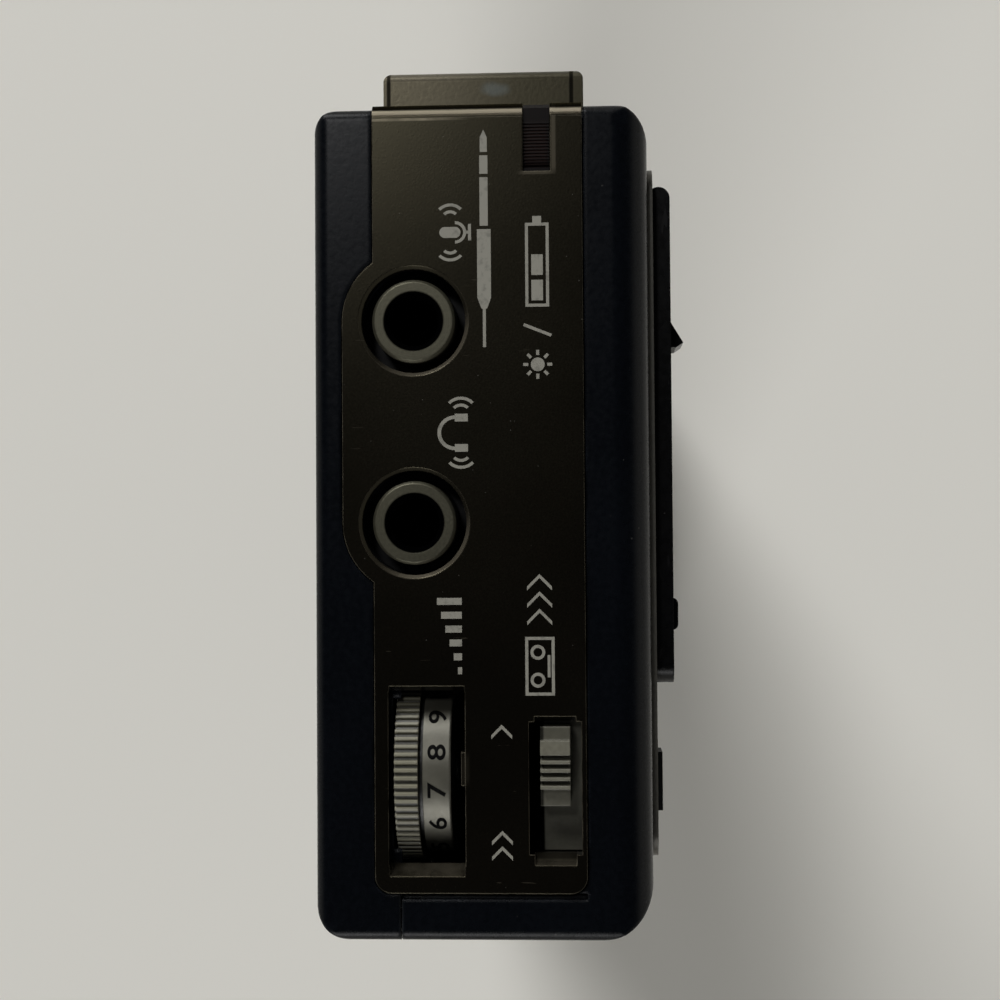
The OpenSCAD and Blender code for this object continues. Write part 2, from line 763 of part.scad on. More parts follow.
module front_shell() color(shell_color) difference() {
  union() {
    difference() {
      intersection() {
        case_form();
        block([x_left, y_front, 0], [x_right, split_front, case_h]);
      }
      cavity();
      panel_zone();
      block([panel_left - seam - shell_step, panel_front, case_h - shell_step],
        [panel_left, split_front + over, case_h + over]);
      block([bay_left, y_front - over, bay_bottom], [bay_right, in_front + over, bay_top]);
    }
    front_ledges();
    for (b = boss_at) rod_y(in_front - wall / 3, split_front, b.x, b.y, boss_r);
    for (p = deck_post_at) rod_y(in_front - wall / 3, deck_front, p.x, p.y, post_r);
    difference() {
      rod_y(in_front - wall / 3, in_front + 1.2, 0, speaker_z, speaker_r + over);
      rod_y(in_front - wall / 2, in_front + 2, 0, speaker_z, speaker_r + seam);
    }
    for (z = ear_at) lid_ear(z);
  }
  rod_z(lid_bottom - 0.3, lid_top + 0.3, lid_axis.x, lid_axis.y, hinge_pin_r + fit);
  rod_y(y_front - over, in_front + over, 0, speaker_z, grille_r - 1.3);
  rod_y(y_front - over, y_front + 0.8, 0, speaker_z, grille_r + seam);
  block([counter_open_left, y_front - over, counter_z - counter_window_h / 2],
    [counter_open_right, in_front + over, counter_z + counter_window_h / 2]);
  lens_block(seam, y_front - over, plate_front + lens_t + seam);
  block([reset_left - slide_gap, y_front - over, reset_low - slide_gap],
    [reset_left + reset_w + slide_gap, in_front + over, reset_low + reset_h + slide_gap]);
  mic_holes();
  for (b = boss_at)
    rod_y(parting_y - screw_grip - screw_end_gap, split_front + over, b.x, b.y, screw_r + fit);
  for (p = deck_post_at)
    rod_y(deck_front - deck_screw_grip - screw_end_gap, deck_front + over, p.x, p.y, deck_screw_r + fit);
}

module mic_holes() {
  for (a = [0 : 72 : 359])
    rod_y(plate_front - over, in_front + over, mic_at.x + 1.5 * cos(a), mic_at.y + 1.5 * sin(a), 0.4);
}

module lens_block(g, y0, y1)
  block([counter_open_left - lens_step - g, y0, counter_z - counter_window_h / 2 - lens_step - g],
    [counter_open_right + lens_step + g, y1, counter_z + counter_window_h / 2 + lens_step + g]);

module rear_shell() color(shell_color) difference() {
  union() {
    difference() {
      intersection() {
        case_form();
        block([x_left, split_rear, 0], [x_right, y_back, case_h]);
      }
      cavity();
      panel_zone();
    }
    rear_ledges();
    for (b = boss_at) rod_y(split_rear, in_back + wall / 3, b.x, b.y, screw_head_r + over);
    difference() {
      block([-bay_half - bay_t, bay_front - bay_t, bay_floor - bay_t],
        [bay_half + bay_t, in_back + wall / 3, bay_roof + bay_t]);
      block([-bay_half, bay_front, bay_floor], [bay_half, y_back, bay_roof]);
    }
    block([-cell_rib_t / 2, bay_front - bay_t / 2, bay_floor + cell_d],
      [cell_rib_t / 2, bay_front + cell_rib_h, bay_roof - cell_d]);
    for (x = [-1, 1], z = [2 * board_post_r, board_h - 2 * board_post_r])
      rod_y(board_front + board_t, in_back + wall / 3, x * (board_w / 2 - 3 * board_post_r), board_low + z,
        board_post_r);
  }
  difference() {
    block([-bay_half, in_back - 0.01, bay_floor], [bay_half, y_back + over, bay_roof]);
    block([-bay_half / 2, in_back - over, bay_floor - over],
      [bay_half / 2, y_back - door_t - seam, bay_floor + bay_t - seam]);
  }
  rod_x(-bay_half - 2.2, bay_half + 2.2, door_axis.x, door_axis.y, door_pin_r + fit);
  for (b = boss_at) {
    rod_y(split_rear - over, y_back, b.x, b.y, screw_r + 2 * fit);
    rod_y(y_back - screw_well, y_back + over, b.x, b.y, screw_head_r + 2 * fit);
  }
}

// Sloped face at one end of a slot in the panel
module slot_slope(x, y0, y1, run) plate_xz(y0, y1)
  polygon([[x, panel_top + 0.01], [x + run, panel_top + 0.01], [x, panel_under + 0.25]]);

// Slot through the panel with a slope at both ends, the slopes narrower by a margin
module panel_slot(lo, hi, margin) {
  hole_right = hi.x - slot_lip;
  block([lo.x, lo.y, panel_under - over], [hole_right, hi.y, panel_top + over]);
  slot_slope(lo.x + 0.01, lo.y + margin, hi.y - margin, -slot_bevel);
  slot_slope(hole_right - 0.01, lo.y + margin, hi.y - margin, slot_lip);
}

// Bent panel, with two posts that hold the speed switch
module bent_panel() {
  intersection() {
    plate_xz(panel_front - over, jack_y + jack_bump_r + over) difference() {
      rrect([panel_left - over, panel_bottom], [panel_side, panel_top], panel_bend_r);
      translate([panel_left - 2 * over, panel_bottom - over])
        square([panel_inner - panel_left + 2 * over, panel_under - panel_bottom + over]);
    }
    plate_xy(0, panel_top + over) panel_plan(0);
  }
  block([flange_right - post_w - 0.1, speed_y - 0.9, switch_top],
    [flange_right - 0.1, speed_y + 0.9, panel_under + panel_t / 2]);
  block([speed_left + 1.1, ear_y, switch_top],
    [speed_left + 2.9, ear_y + post_w, panel_under + panel_t / 2]);
}

module panel_openings() {
  for (x = [mic_x, ear_x]) {
    rod_z(panel_under - over, panel_top + over, x, jack_y, jack_hole_r);
    translate([x, jack_y, panel_top - flare])
      cylinder(h = flare + 0.01, r1 = jack_hole_r, r2 = jack_hole_r + flare);
  }
  panel_slot([wheel_x - wheel_slot_l / 2, wheel_edge],
    [wheel_x + wheel_slot_l / 2, wheel_rear + wheel_slot_rear], 0.05);
  panel_slot([speed_left, speed_y - speed_slot_w / 2], [speed_right, speed_y + speed_slot_w / 2], 0.4);
  block([led_left, led_y - led_w / 2, panel_under - over],
    [panel_side + over, led_y + led_w / 2, panel_top + over]);
  block([panel_inner - over, led_y - led_w / 2, case_h - led_drop],
    [panel_side + over, led_y + led_w / 2, panel_top + over]);
  block([x_right - 0.85, panel_front - over, panel_top - panel_line],
    [x_right - 0.6, panel_rear + over, panel_top + over]);
  block([panel_inner - over, slide_y - stem_w / 2 - 0.2, slider_mid - stem_l / 2 - slider_travel - 0.3],
    [panel_side + over, slide_y + stem_w / 2 + 0.2, slider_mid + stem_l / 2 + 0.3]);
}

// Trim panel with its openings and an index for the wheel on the edge of the wheel slot
module trim_panel() color(bronze) {
  difference() {
    bent_panel();
    panel_openings();
  }
  block([index_x - index_l / 2, wheel_edge - index_w, panel_under + 0.1],
    [index_x + index_l / 2, wheel_edge + index_w, panel_top - 0.15]);
}

// Front plate, with a raised keeper beside the lid that the latch tongue slides under
module front_plate() color([0.6, 0.59, 0.55]) difference() {
  union() {
    plate_xz(plate_front, y_front) rrect([plate_left, plate_low], [plate_right, plate_high], plate_corner_r);
    block([keeper_left, y_front - keeper_proud, lid_mid_z - keeper_w / 2],
      [lid_left, y_front, lid_mid_z + keeper_w / 2]);
  }
  block([lid_left - lid_edge, y_front - lid_t, lid_bottom - lid_edge],
    [lid_right + lid_edge, y_front + over, lid_top + lid_edge]);
  block([lid_left - latch_travel - 2 * lid_edge, plate_front - 0.02, lid_mid_z - tongue_w / 2 - lid_edge],
    [lid_left, y_front + over, lid_mid_z + tongue_w / 2 + lid_edge]);
  rod_y(plate_front - over, y_front + over, 0, speaker_z, grille_r + seam);
  block([reset_left - slide_gap, plate_front - over, reset_low - slide_gap],
    [reset_left + reset_w + slide_gap, y_front + over, reset_low + reset_h + slide_gap]);
  lens_block(seam, plate_front - over, y_front + over);
  mic_holes();
}

module cassette_well() color(black) difference() {
  block([bay_left - well_t, in_front, bay_bottom - well_t],
    [bay_right + well_t, deck_front, bay_top + well_t]);
  block([bay_left - 2 * well_t, in_front - over, bay_bottom], [bay_right, deck_front + over, bay_top]);
}

// Deck plate with the bearings' holes, a clearance at the indicator and two guide pins for the carriage
module deck_plate() color(steel) {
  plate_xz(deck_front, deck_rear) difference() {
    rrect([deck_left, deck_low], [deck_right, deck_high], 1);
    translate([bay_right + well_t, panel_under - deck_notch]) square([case_w, deck_notch]);
    translate([reel_x, takeup_z]) circle(spindle_r + fit);
    translate([reel_x, supply_z]) circle(spindle_r + fit);
    translate([capstan_x, capstan_z]) circle(bearing_r);
    translate([motor_x, motor_z]) circle(neck_r + 0.2);
    slot_2d([pin_x, pin_z], [pin_x + carriage_throw, pin_z], pin_r + 0.25);
    for (p = deck_post_at) translate(p) circle(deck_screw_r + 2 * fit);
    for (z = [lid_mid_z - 4, lid_mid_z + 4]) translate([lid_mid_x + 2, z]) circle(1.6);
  }
  for (z = guide_at) rod_y(carriage_front - 0.3, deck_front + deck_t / 2, guide_x, z, guide_r);
}

module speaker_grille() color(black) difference() {
  rod_y(plate_front - 0.1, y_front + 0.75, 0, speaker_z, grille_r);
  rod_y(plate_front - over, y_front + over, 0, speaker_z, grille_hole_r);
  for (k = [1 : grille_rings], i = [0 : 6 * k - 1]) {
    at = k * grille_pitch * [cos(i * 60 / k), sin(i * 60 / k)];
    rod_y(plate_front - over, y_front + over, at.x, speaker_z + at.y, grille_hole_r);
  }
}

// Basket of the speaker: a rim, a sloped skirt and a seat for the magnet
module speaker_frame() color(steel) turn_y(0, speaker_z) {
  rim = speaker_r - speaker_lip;
  seat = magnet_front - basket_t;
  polygon([[rim, basket_front], [speaker_r, basket_front], [speaker_r, basket_front + basket_t],
    [rim, basket_front + basket_t], [throat_r, magnet_front], [pole_r, magnet_front], [pole_r, seat],
    [throat_r - basket_t / 2, seat], [rim - basket_t, basket_front + basket_t / 2]]);
}

module speaker_magnet() color(black) rod_y(magnet_front, speaker_back, 0, speaker_z, magnet_r);

// Paper cone with a flat surround on the basket's rim and a dome in the middle
module speaker_cone() color([0.2, 0.2, 0.2]) turn_y(0, speaker_z) {
  surround = speaker_r - speaker_lip - 1.2;
  rear = basket_front - 0.02;
  polygon([[0, cone_back - cone_t], [dome_r, cone_back], [cone_r, cone_back], [surround, rear],
    [speaker_r - 0.4, rear], [speaker_r - 0.4, in_front + seam], [surround - cone_t / 3, in_front + seam],
    [cone_r - cone_t / 3, cone_back - cone_t], [dome_r, cone_back - cone_t], [0, cone_back - 2 * cone_t]]);
}

module microphone() color(steel) difference() {
  rod_y(in_front + seam, in_front + mic_h, mic_at.x, mic_at.y, mic_r);
  rod_y(in_front, in_front + 0.5, mic_at.x, mic_at.y, mic_r - 0.5);
}

// Board with a tongue behind the jacks and a notch at each edge
module circuit_board() color([0.1, 0.32, 0.16]) plate_xz(board_front, board_front + board_t) difference() {
  union() {
    translate([-board_w / 2, board_low]) square([board_w, board_h]);
    translate([ear_x - housing_w, board_high - over])
      square([jack_pitch + 2 * housing_w, housing_top - 2 * collar_edge - board_high + over]);
  }
  for (x = [-board_w / 2, board_w / 2]) translate([x, board_low + board_h / 2]) circle(wall);
}

// Part of a given size standing on the board, its place given as shares of the board
module on_board(u, v, size) translate([u * board_w - size.x / 2, board_front - size.y,
  board_low + v * board_h - size.z / 2]) cube(size);

module can_on_board(u, v)
  rod_y(board_front - can_h, board_front, u * board_w, board_low + v * board_h, can_r);

module board_components() color(black) {
  on_board(-0.21, 0.52, chip);
  on_board(0.13, 0.21, chip);
  on_board(0.32, 0.6, small_chip);
  for (u = [-0.42, -0.35]) can_on_board(u, 0.11);
  for (u = [0.3, 0.375, 0.45]) can_on_board(u, 0.81);
  for (i = [0 : 4]) on_board(-0.25 + 0.075 * i, 0.37, resistor);
}

module jack_bushing(x) translate([x, jack_y, 0]) rotate_extrude() polygon([[jack_bore_r, housing_top],
  [bushing_r, housing_top], [bushing_r, jack_top - collar_edge], [bushing_r - collar_edge, jack_top],
  [jack_mouth_r, jack_top], [jack_bore_r, jack_top - jack_mouth_d]]);

module mic_jack_bushing() color(steel) jack_bushing(mic_x);

module ear_jack_bushing() color(steel) jack_bushing(ear_x);

// Blind housing of each jack, with a disc that closes the gap round the collar
module jack_housings() color(black) for (x = [mic_x, ear_x]) difference() {
  union() {
    block([x - housing_w / 2, housing_front, jack_low - housing_floor],
      [x + housing_w / 2, housing_front + housing_d, housing_top]);
    rod_z(housing_top - collar_edge, housing_top + dust_disc_t, x, jack_y, jack_hole_r + collar_edge);
  }
  rod_z(jack_low, housing_top + over, x, jack_y, jack_bore_r);
  rod_z(housing_top, housing_top + over, x, jack_y, bushing_r + fit);
}

module volume_pot() color(steel) {
  rod_y(wheel_rear + 0.25, in_back, wheel_x, wheel_z, pot_r);
  rod_y(wheel_front - 0.2, in_back - over, wheel_x, wheel_z, pot_shaft_r);
}

module speed_switch() color(black) difference() {
  union() {
    block([speed_left + 0.2, speed_y - speed_slot_w / 2, switch_top - flange_t - switch_h],
      [speed_right - 0.1, speed_y + speed_slot_w / 2, switch_top - flange_t]);
    block([flange_left, speed_y - 1.5, switch_top - flange_t], [flange_right, speed_y + 1.5, switch_top]);
    block([speed_left + 1, speed_y, switch_top - flange_t],
      [speed_left + 3, ear_y + post_w + seam, switch_top]);
  }
  block([knob_left + 1 - speed_travel, speed_y - lever_w / 2 - 0.2, switch_top - 2],
    [knob_right - 1, speed_y + lever_w / 2 + 0.2, switch_top + over]);
}

// The lens fills the notch of the panel and turns down the side
module led_lens() color([0.3, 0.05, 0.04]) plate_xz(led_y - led_w / 2 + 0.05, led_y + led_w / 2 - 0.05) {
  top = panel_top - 0.35;
  base = panel_under - 0.6;
  out = panel_side - 0.15;
  teeth = floor((led_l - 1.4) / led_rib);
  start = led_left + 0.3;
  polygon(concat([[led_left + 0.05, base], [out, base], [out, top - 0.3], [out - 0.3, top],
    [start + teeth * led_rib + 0.1, top]],
    [for (i = [0 : teeth - 1]) each [[start + (teeth - i) * led_rib, top],
      [start + (teeth - i - 0.5) * led_rib, top - 0.12]]], [[start, top], [led_left + 0.05, top]]));
  translate([out - 1, case_h - led_drop + 0.05]) square([1, led_drop - 1]);
}

module led_lamp() color([0.4, 0.06, 0.05]) {
  block([led_left + 0.6, led_y - 0.8, panel_under - 4], [led_left + 2.6, led_y + 0.8, panel_under - 0.65]);
  for (x = [led_left + 0.9, led_left + 2])
    block([x, led_y - lead_t / 2, panel_under - 8], [x + lead_t, led_y + lead_t / 2, panel_under - 3.9]);
}

module counter_lens() color([0.8, 0.85, 0.85]) lens_block(0, plate_front + 0.05, plate_front + lens_t);

module counter_frame() color(black) difference() {
  union() {
    block([counter_left, deck_front - counter_side, counter_z - counter_r],
      [counter_right, deck_front, counter_z + counter_r]);
    for (x = [counter_left, counter_right - counter_side])
      block([x, counter_y - 2 * counter_pin_r, counter_z - counter_r / 2],
        [x + counter_side, deck_front - counter_side / 2, counter_z + counter_r / 2]);
  }
  rod_x(counter_left - over, counter_right + over, counter_y, counter_z, counter_pin_r + 0.02);
}

module counter_shaft() color(steel) rod_x(counter_left, counter_right, counter_y, counter_z, counter_pin_r);

module counter_wheel(i) difference() {
  left = counter_first + i * counter_step;
  rod_x(left, left + counter_w, counter_y, counter_z, counter_r);
  rod_x(counter_left, counter_right, counter_y, counter_z, counter_pin_r + fit);
}

module counter_hundreds() color([0.1, 0.1, 0.1]) counter_wheel(0);

module counter_tens() color([0.1, 0.1, 0.1]) counter_wheel(1);

module counter_units() color([0.1, 0.1, 0.1]) counter_wheel(2);

// Pushed in from below as far as the blind end of the lid's barrel
module lid_hinge_pin() color(black)
  rod_z(lid_bottom, lid_top - pin_stop - seam, lid_axis.x, lid_axis.y, hinge_pin_r);

module door_hinge_pin() color(steel) rod_x(-bay_half - 2, bay_half + 2, door_axis.x, door_axis.y, door_pin_r);

// Cross-head screw along Y, its head at y_head and its point at y_end
module screw(y_head, y_end, at, shank, head, head_h) translate([at.x, y_head, at.y]) difference() {
  arm = head * 0.65;
  slit = head * 0.11;
  union() {
    rod_y(y_end - y_head, 0, 0, 0, shank);
    turn_y(0, 0) polygon([[0, -head_h], [head, -head_h], [head, -head_h / 3], [head * 0.8, 0], [0, 0]]);
  }
  block([-arm, -head_h / 2, -slit], [arm, over, slit]);
  block([-slit, -head_h / 2, -arm], [slit, over, arm]);
}

module case_screws() color(steel)
  for (b = boss_at) screw(y_back - screw_sink, parting_y - screw_grip, b, screw_r, screw_head_r,
    screw_well - screw_sink);

module deck_screws() color(steel)
  for (p = deck_post_at) screw(deck_rear + deck_head_h, deck_front - deck_screw_grip, p, deck_screw_r,
    deck_head_r, deck_head_h);

// Dry cell with a shoulder and a raised contact, upside down if flip is set
module cell(x, flip) translate([x, cell_y, flip ? cell_high + cell_low : 0]) mirror([0, 0, flip ? 1 : 0])
  rotate_extrude() polygon([[0, cell_low], [cell_d / 2 - cell_edge, cell_low],
    [cell_d / 2, cell_low + cell_edge], [cell_d / 2, cell_high - nub_h - cell_edge],
    [cell_d / 2 - cell_edge, cell_high - nub_h],
    [nub_r, cell_high - nub_h], [nub_r, cell_high], [0, cell_high]]);

module battery_cells() color([0.75, 0.5, 0.25]) {
  cell(-cell_pitch / 2, false);
  cell(cell_pitch / 2, true);
}

// Springy strip bent into an arch between a plate and a cell
module contact_leaf(x, z, up) translate([x, cell_y + leaf_w / 2, z]) mirror([0, 0, up ? 0 : 1])
  rotate([90, 0, 0]) linear_extrude(leaf_w) {
    translate([-leaf_l / 2, 0]) square([leaf_l, leaf_t]);
    translate([0, arch_rise - arch_r]) difference() {
      ring_2d(arch_r - arch_t, arch_t);
      translate([-leaf_l, -2 * arch_r]) square([2 * leaf_l, 3 * arch_r - arch_rise + leaf_t / 2]);
    }
  }

module battery_contacts() color(steel) {
  contact_leaf(-cell_pitch / 2, bay_roof, false);
  contact_leaf(cell_pitch / 2, bay_roof, false);
}

module contact_bridge() color(steel) {
  contact_leaf(-cell_pitch / 2, bay_floor, true);
  contact_leaf(cell_pitch / 2, bay_floor, true);
  block([-cell_pitch / 2, cell_y - leaf_w / 2, bay_floor],
    [cell_pitch / 2, cell_y + leaf_w / 2, bay_floor + leaf_t]);
}

// Motor can on the deck, with its shaft through the plate
module motor() color(steel) {
  turn_y(motor_x, motor_z) polygon([[0, in_front + 0.3], [motor_r - can_edge, in_front + 0.3],
    [motor_r, in_front + 0.3 + can_edge], [motor_r, deck_front], [0, deck_front]]);
  rod_y(deck_front - over, deck_rear + 0.1, motor_x, motor_z, neck_r);
  rod_y(deck_front - over, wheel_layer_end + 0.3, motor_x, motor_z, motor_shaft_r);
}

// Grooved pulley that keeps the belt between two flanges
module motor_pulley() color([0.75, 0.6, 0.3]) difference() {
  edge = pulley_r + pulley_lip;
  turn_y(motor_x, motor_z) polygon([[0, wheel_layer], [edge, wheel_layer], [edge, wheel_layer + 0.3],
    [pulley_r, wheel_layer + 0.3], [pulley_r, wheel_layer_end - 0.3], [edge, wheel_layer_end - 0.3],
    [edge, wheel_layer_end], [0, wheel_layer_end]]);
  rod_y(wheel_layer - over, wheel_layer_end + over, motor_x, motor_z, motor_shaft_r + fit);
}

module drive_belt() color(black) {
  hub = [capstan_x, capstan_z];
  far = [motor_x, motor_z];
  big = flywheel_r + contact_play;
  small = pulley_r + contact_play;
  plate_xz(wheel_layer + 0.5, wheel_layer_end - 0.5) belt_arcs(hub, big, far, small, belt_t);
  plate_xz(wheel_layer + 0.53, wheel_layer_end - 0.53) belt_runs(hub, big, far, small, belt_t);
}

module capstan_bearing() color([0.75, 0.6, 0.3]) difference() {
  rod_y(deck_front - bearing_nose, deck_rear + 0.6, capstan_x, capstan_z, bearing_r);
  rod_y(deck_front - 3, deck_rear + 3, capstan_x, capstan_z, capstan_r + fit / 2);
}

module flywheel_bracket() color(steel) {
  plate_xz(bracket_front, bracket_front + bracket_t) {
    slot_2d(bracket_posts[0], bracket_posts[2], bracket_arm_r);
    slot_2d(bracket_posts[0], [capstan_x, capstan_z], bracket_hub_r);
    slot_2d(bracket_posts[2], [capstan_x, capstan_z], bracket_arm_r);
    slot_2d(bracket_posts[1], [capstan_x, capstan_z], bracket_hub_r);
    slot_2d(idler_at, [capstan_x, capstan_z], bracket_arm_r);
  }
  for (p = bracket_posts) rod_y(deck_rear, bracket_front + bracket_t / 2, p.x, p.y, bracket_post_r);
  rod_y(idler_layer - 0.1, bracket_front + bracket_t / 2, idler_at.x, idler_at.y, idler_pin_r);
}

module idler_wheel() color([0.15, 0.15, 0.15]) difference() {
  rod_y(idler_layer, idler_layer_end, idler_at.x, idler_at.y, idler_r);
  rod_y(idler_layer - over, idler_layer_end + over, idler_at.x, idler_at.y, idler_pin_r + fit);
}

module capstan() color(steel) rod_y(reel_end, bracket_front - 0.1, capstan_x, capstan_z, capstan_r);

// Heavy-rimmed wheel with a friction hub toward the back
module flywheel() color([0.72, 0.6, 0.35]) difference() {
  web_r = flywheel_r - 3;
  web_front = wheel_layer + flywheel_t * 0.28;
  web_rear = wheel_layer_end - flywheel_t * 0.28;
  turn_y(capstan_x, capstan_z) polygon([[0, wheel_layer], [drive_hub_r, wheel_layer],
    [drive_hub_r, web_front], [web_r, web_front], [web_r, wheel_layer], [flywheel_r, wheel_layer],
    [flywheel_r, wheel_layer_end], [web_r, wheel_layer_end], [web_r, web_rear], [drive_hub_r, web_rear],
    [drive_hub_r, idler_layer_end], [0, idler_layer_end]]);
  rod_y(wheel_layer - over, idler_layer_end + over, capstan_x, capstan_z, capstan_r + 0.01);
}

// Finned hub that turns a reel, on a shaft through the deck
module spindle(z, shaft_end) {
  rest_front = deck_front - 0.6;
  rest_rear = deck_front - 0.15;
  rod_y(reel_end + 0.6, shaft_end, reel_x, z, spindle_r);
  turn_y(reel_x, z) polygon([[0, reel_end], [spindle_r * 0.8, reel_end], [hub_r, reel_end + 1.4],
    [hub_r, rest_front], [reel_rest_r, rest_front], [reel_rest_r, rest_rear], [0, rest_rear]]);
  for (a = [0, 120, 240]) translate([reel_x, 0, z]) rotate([0, a, 0])
    block([0, reel_end + 1.6, -fin_t / 2], [fin_r, rest_rear - 0.15, fin_t / 2]);
}

module takeup_spindle() color([0.85, 0.84, 0.8]) {
  spindle(takeup_z, idler_layer_end + 0.2);
  rod_y(idler_layer, idler_layer_end, reel_x, takeup_z, takeup_r);
}

module supply_spindle() color([0.85, 0.84, 0.8]) {
  spindle(supply_z, bar_rear);
  rod_y(bar_front, bar_rear, reel_x, supply_z, hub_r + 0.3);
}

// Outline of the lid window, grown by a margin
module window_plan(g, r) rrect([window_x - window_w / 2 - g, lid_mid_z - window_l / 2 - g],
  [window_x + window_w / 2 + g, lid_mid_z + window_l / 2 + g], r);

// Lid with a hinge barrel, a rim that holds the cassette and a stepped window opening
module cassette_lid() color(black) difference() {
  union() {
    plate_xz(lid_front, lid_rear)
      rrect([lid_left, lid_bottom], [lid_axis.x + 2, lid_top], [lid_corner_r, 1, 1, lid_corner_r]);
    rod_z(lid_bottom, lid_top, lid_axis.x, lid_axis.y, lid_t / 2);
    difference() {
      block([bay_left + slide_gap, lid_rear - 0.3, bay_bottom + slide_gap],
        [bay_right - 2, lid_rear + lid_rim_h, bay_top - slide_gap]);
      block([tape_left - 0.05, lid_rear - over, bay_bottom + bay_gap - 0.05],
        [bay_right, lid_rear + 2 * lid_rim_h, bay_top - bay_gap + 0.05]);
    }
    plate_xy(lid_top - ear_l - catch_l, lid_top - ear_l) polygon([[catch_x, lid_rear],
      [catch_x, lid_front - catch_h / 2], [catch_x + catch_h / 3, lid_front - catch_h],
      [catch_x + catch_h * 2, lid_front], [catch_x + catch_h * 2, lid_rear]]);
  }
  difference() {
    block([lid_axis.x, lid_front - over, lid_bottom - over],
      [lid_axis.x + 3, lid_rear + over, lid_top + over]);
    rod_z(lid_bottom, lid_top, lid_axis.x, lid_axis.y, lid_t / 2);
  }
  for (z = ear_at)
    block([lid_axis.x - lid_t / 2 - ear_gap, lid_front - over, z - ear_gap],
      [lid_right + over, lid_rear + over, z + ear_l + ear_gap]);
  rod_z(lid_bottom - over, lid_top - pin_stop, lid_axis.x, lid_axis.y, hinge_pin_r + fit);
  plate_xz(lid_front - over, lid_front + window_t + 0.05) window_plan(0.05, 1);
  plate_xz(lid_front - over, lid_rear + over) window_plan(-window_step, 0.6);
  block([latch_stem_x - latch_travel - slide_gap, lid_front - over, lid_mid_z - latch_stem_w / 2 - slide_gap],
    [latch_stem_x + latch_stem_l + slide_gap, lid_rear + over, lid_mid_z + latch_stem_w / 2 + slide_gap]);
  block([lid_left - over, lid_rear - tongue_t - 0.05, lid_mid_z - tongue_w / 2 - slide_gap],
    [latch_stem_x + latch_stem_l + slide_gap, lid_rear + over, lid_mid_z + tongue_w / 2 + slide_gap]);
}

module lid_window() color([0.5, 0.52, 0.55])
  plate_xz(lid_front + 0.05, lid_front + window_t) window_plan(0, 1);

// Finger latch on the lid, its stem through the lid and its tongue behind it
module lid_latch() color(black) {
  top = lid_front - 0.05 - latch_proud;
  base = lid_front - 0.05;
  plate_xy(lid_mid_z - latch_l / 2, lid_mid_z + latch_l / 2) {
    polygon([[latch_left, base], [latch_left + 0.5, top], [latch_step, top], [latch_step, base]]);
    rrect([latch_step - 0.1, top - latch_ridge], [latch_right, base], [0.5, 0.5, 0.05, 0.05]);
  }
  block([latch_stem_x, base - 0.05, lid_mid_z - latch_stem_w / 2],
    [latch_stem_x + latch_stem_l, lid_rear, lid_mid_z + latch_stem_w / 2]);
  block([lid_left + 0.05, lid_rear - tongue_t, lid_mid_z - tongue_w / 2],
    [latch_stem_x + latch_stem_l, lid_rear, lid_mid_z + tongue_w / 2]);
}

// Battery door with a hinge barrel at the top and finger ribs near its foot
module battery_door() color(shell_color) difference() {
  half = bay_half - door_gap;
  union() {
    block([-half, y_back - door_t, bay_floor + door_gap], [half, y_back, door_axis.y]);
    rod_x(-half, half, door_axis.x, door_axis.y, door_t / 2);
    for (i = [0 : 4]) translate([0, 0, bay_floor + 4 + door_rib_pitch * i])
      block([-door_rib_l / 2, y_back - door_gap, 0],
        [door_rib_l / 2, y_back + door_rib_h, door_rib_pitch / 2]);
  }
  rod_x(-bay_half - over, bay_half + over, door_axis.x, door_axis.y, door_pin_r + fit);
}

// Stem of the thumb slider between two X planes
module slider_stem(x0, x1) block([x0, slide_y - stem_w / 2, slider_mid - stem_l / 2],
  [x1, slide_y + stem_w / 2, slider_mid + stem_l / 2]);

module slider_knob() color([0.3, 0.28, 0.23]) {
  corners = [0.2, slider_r, slider_r, 0.2];
  difference() {
    intersection() {
      plate_xy(slider_low, slider_top)
        rrect([slider_x, slide_y - slider_w / 2], [slider_out, slide_y + slider_w / 2], corners);
      plate_xz(slide_y - slider_w, slide_y + slider_w)
        rrect([slider_x, slider_low], [slider_out, slider_top], corners);
    }
    for (i = [0 : grip_count - 1]) {
      z = slider_mid + (i - (grip_count - 1) / 2) * grip_pitch;
      block([slider_out - grip_depth, slide_y - slider_w, z - grip_pitch / 4],
        [slider_out + over, slide_y + slider_w, z + grip_pitch / 4]);
    }
  }
  slider_stem(tab_x, slider_x + over);
}

module slider_shield() color(black) difference() {
  block([shield_x, slide_y - slider_w / 2 - shield_lap, slider_low + shield_lap],
    [slider_x, slide_y + slider_w / 2 + shield_lap, slider_top - shield_lap]);
  slider_stem(shield_x - over, slider_x + over);
}

module mode_bar() color(steel) {
  plate_xz(bar_front, bar_rear) difference() {
    union() {
      rrect([pin_x - cam_edge, pin_z - cam_edge + 0.2],
        [pin_x + carriage_throw + cam_edge, pin_z + slider_travel + cam_edge], 0.8);
      translate([pin_x, arm_low]) square([tab_x - pin_x, arm_h]);
      translate([tab_x - riser_w, arm_low]) square([riser_w, slider_mid + stem_l / 2 - arm_low]);
    }
    slot_2d([pin_x, pin_z], [pin_x + carriage_throw, pin_z + slider_travel], pin_r + fit);
  }
  block([tab_x - tab_t, bar_front, slider_mid - stem_l / 2],
    [tab_x, slide_y + stem_w / 2, slider_mid + stem_l / 2]);
}

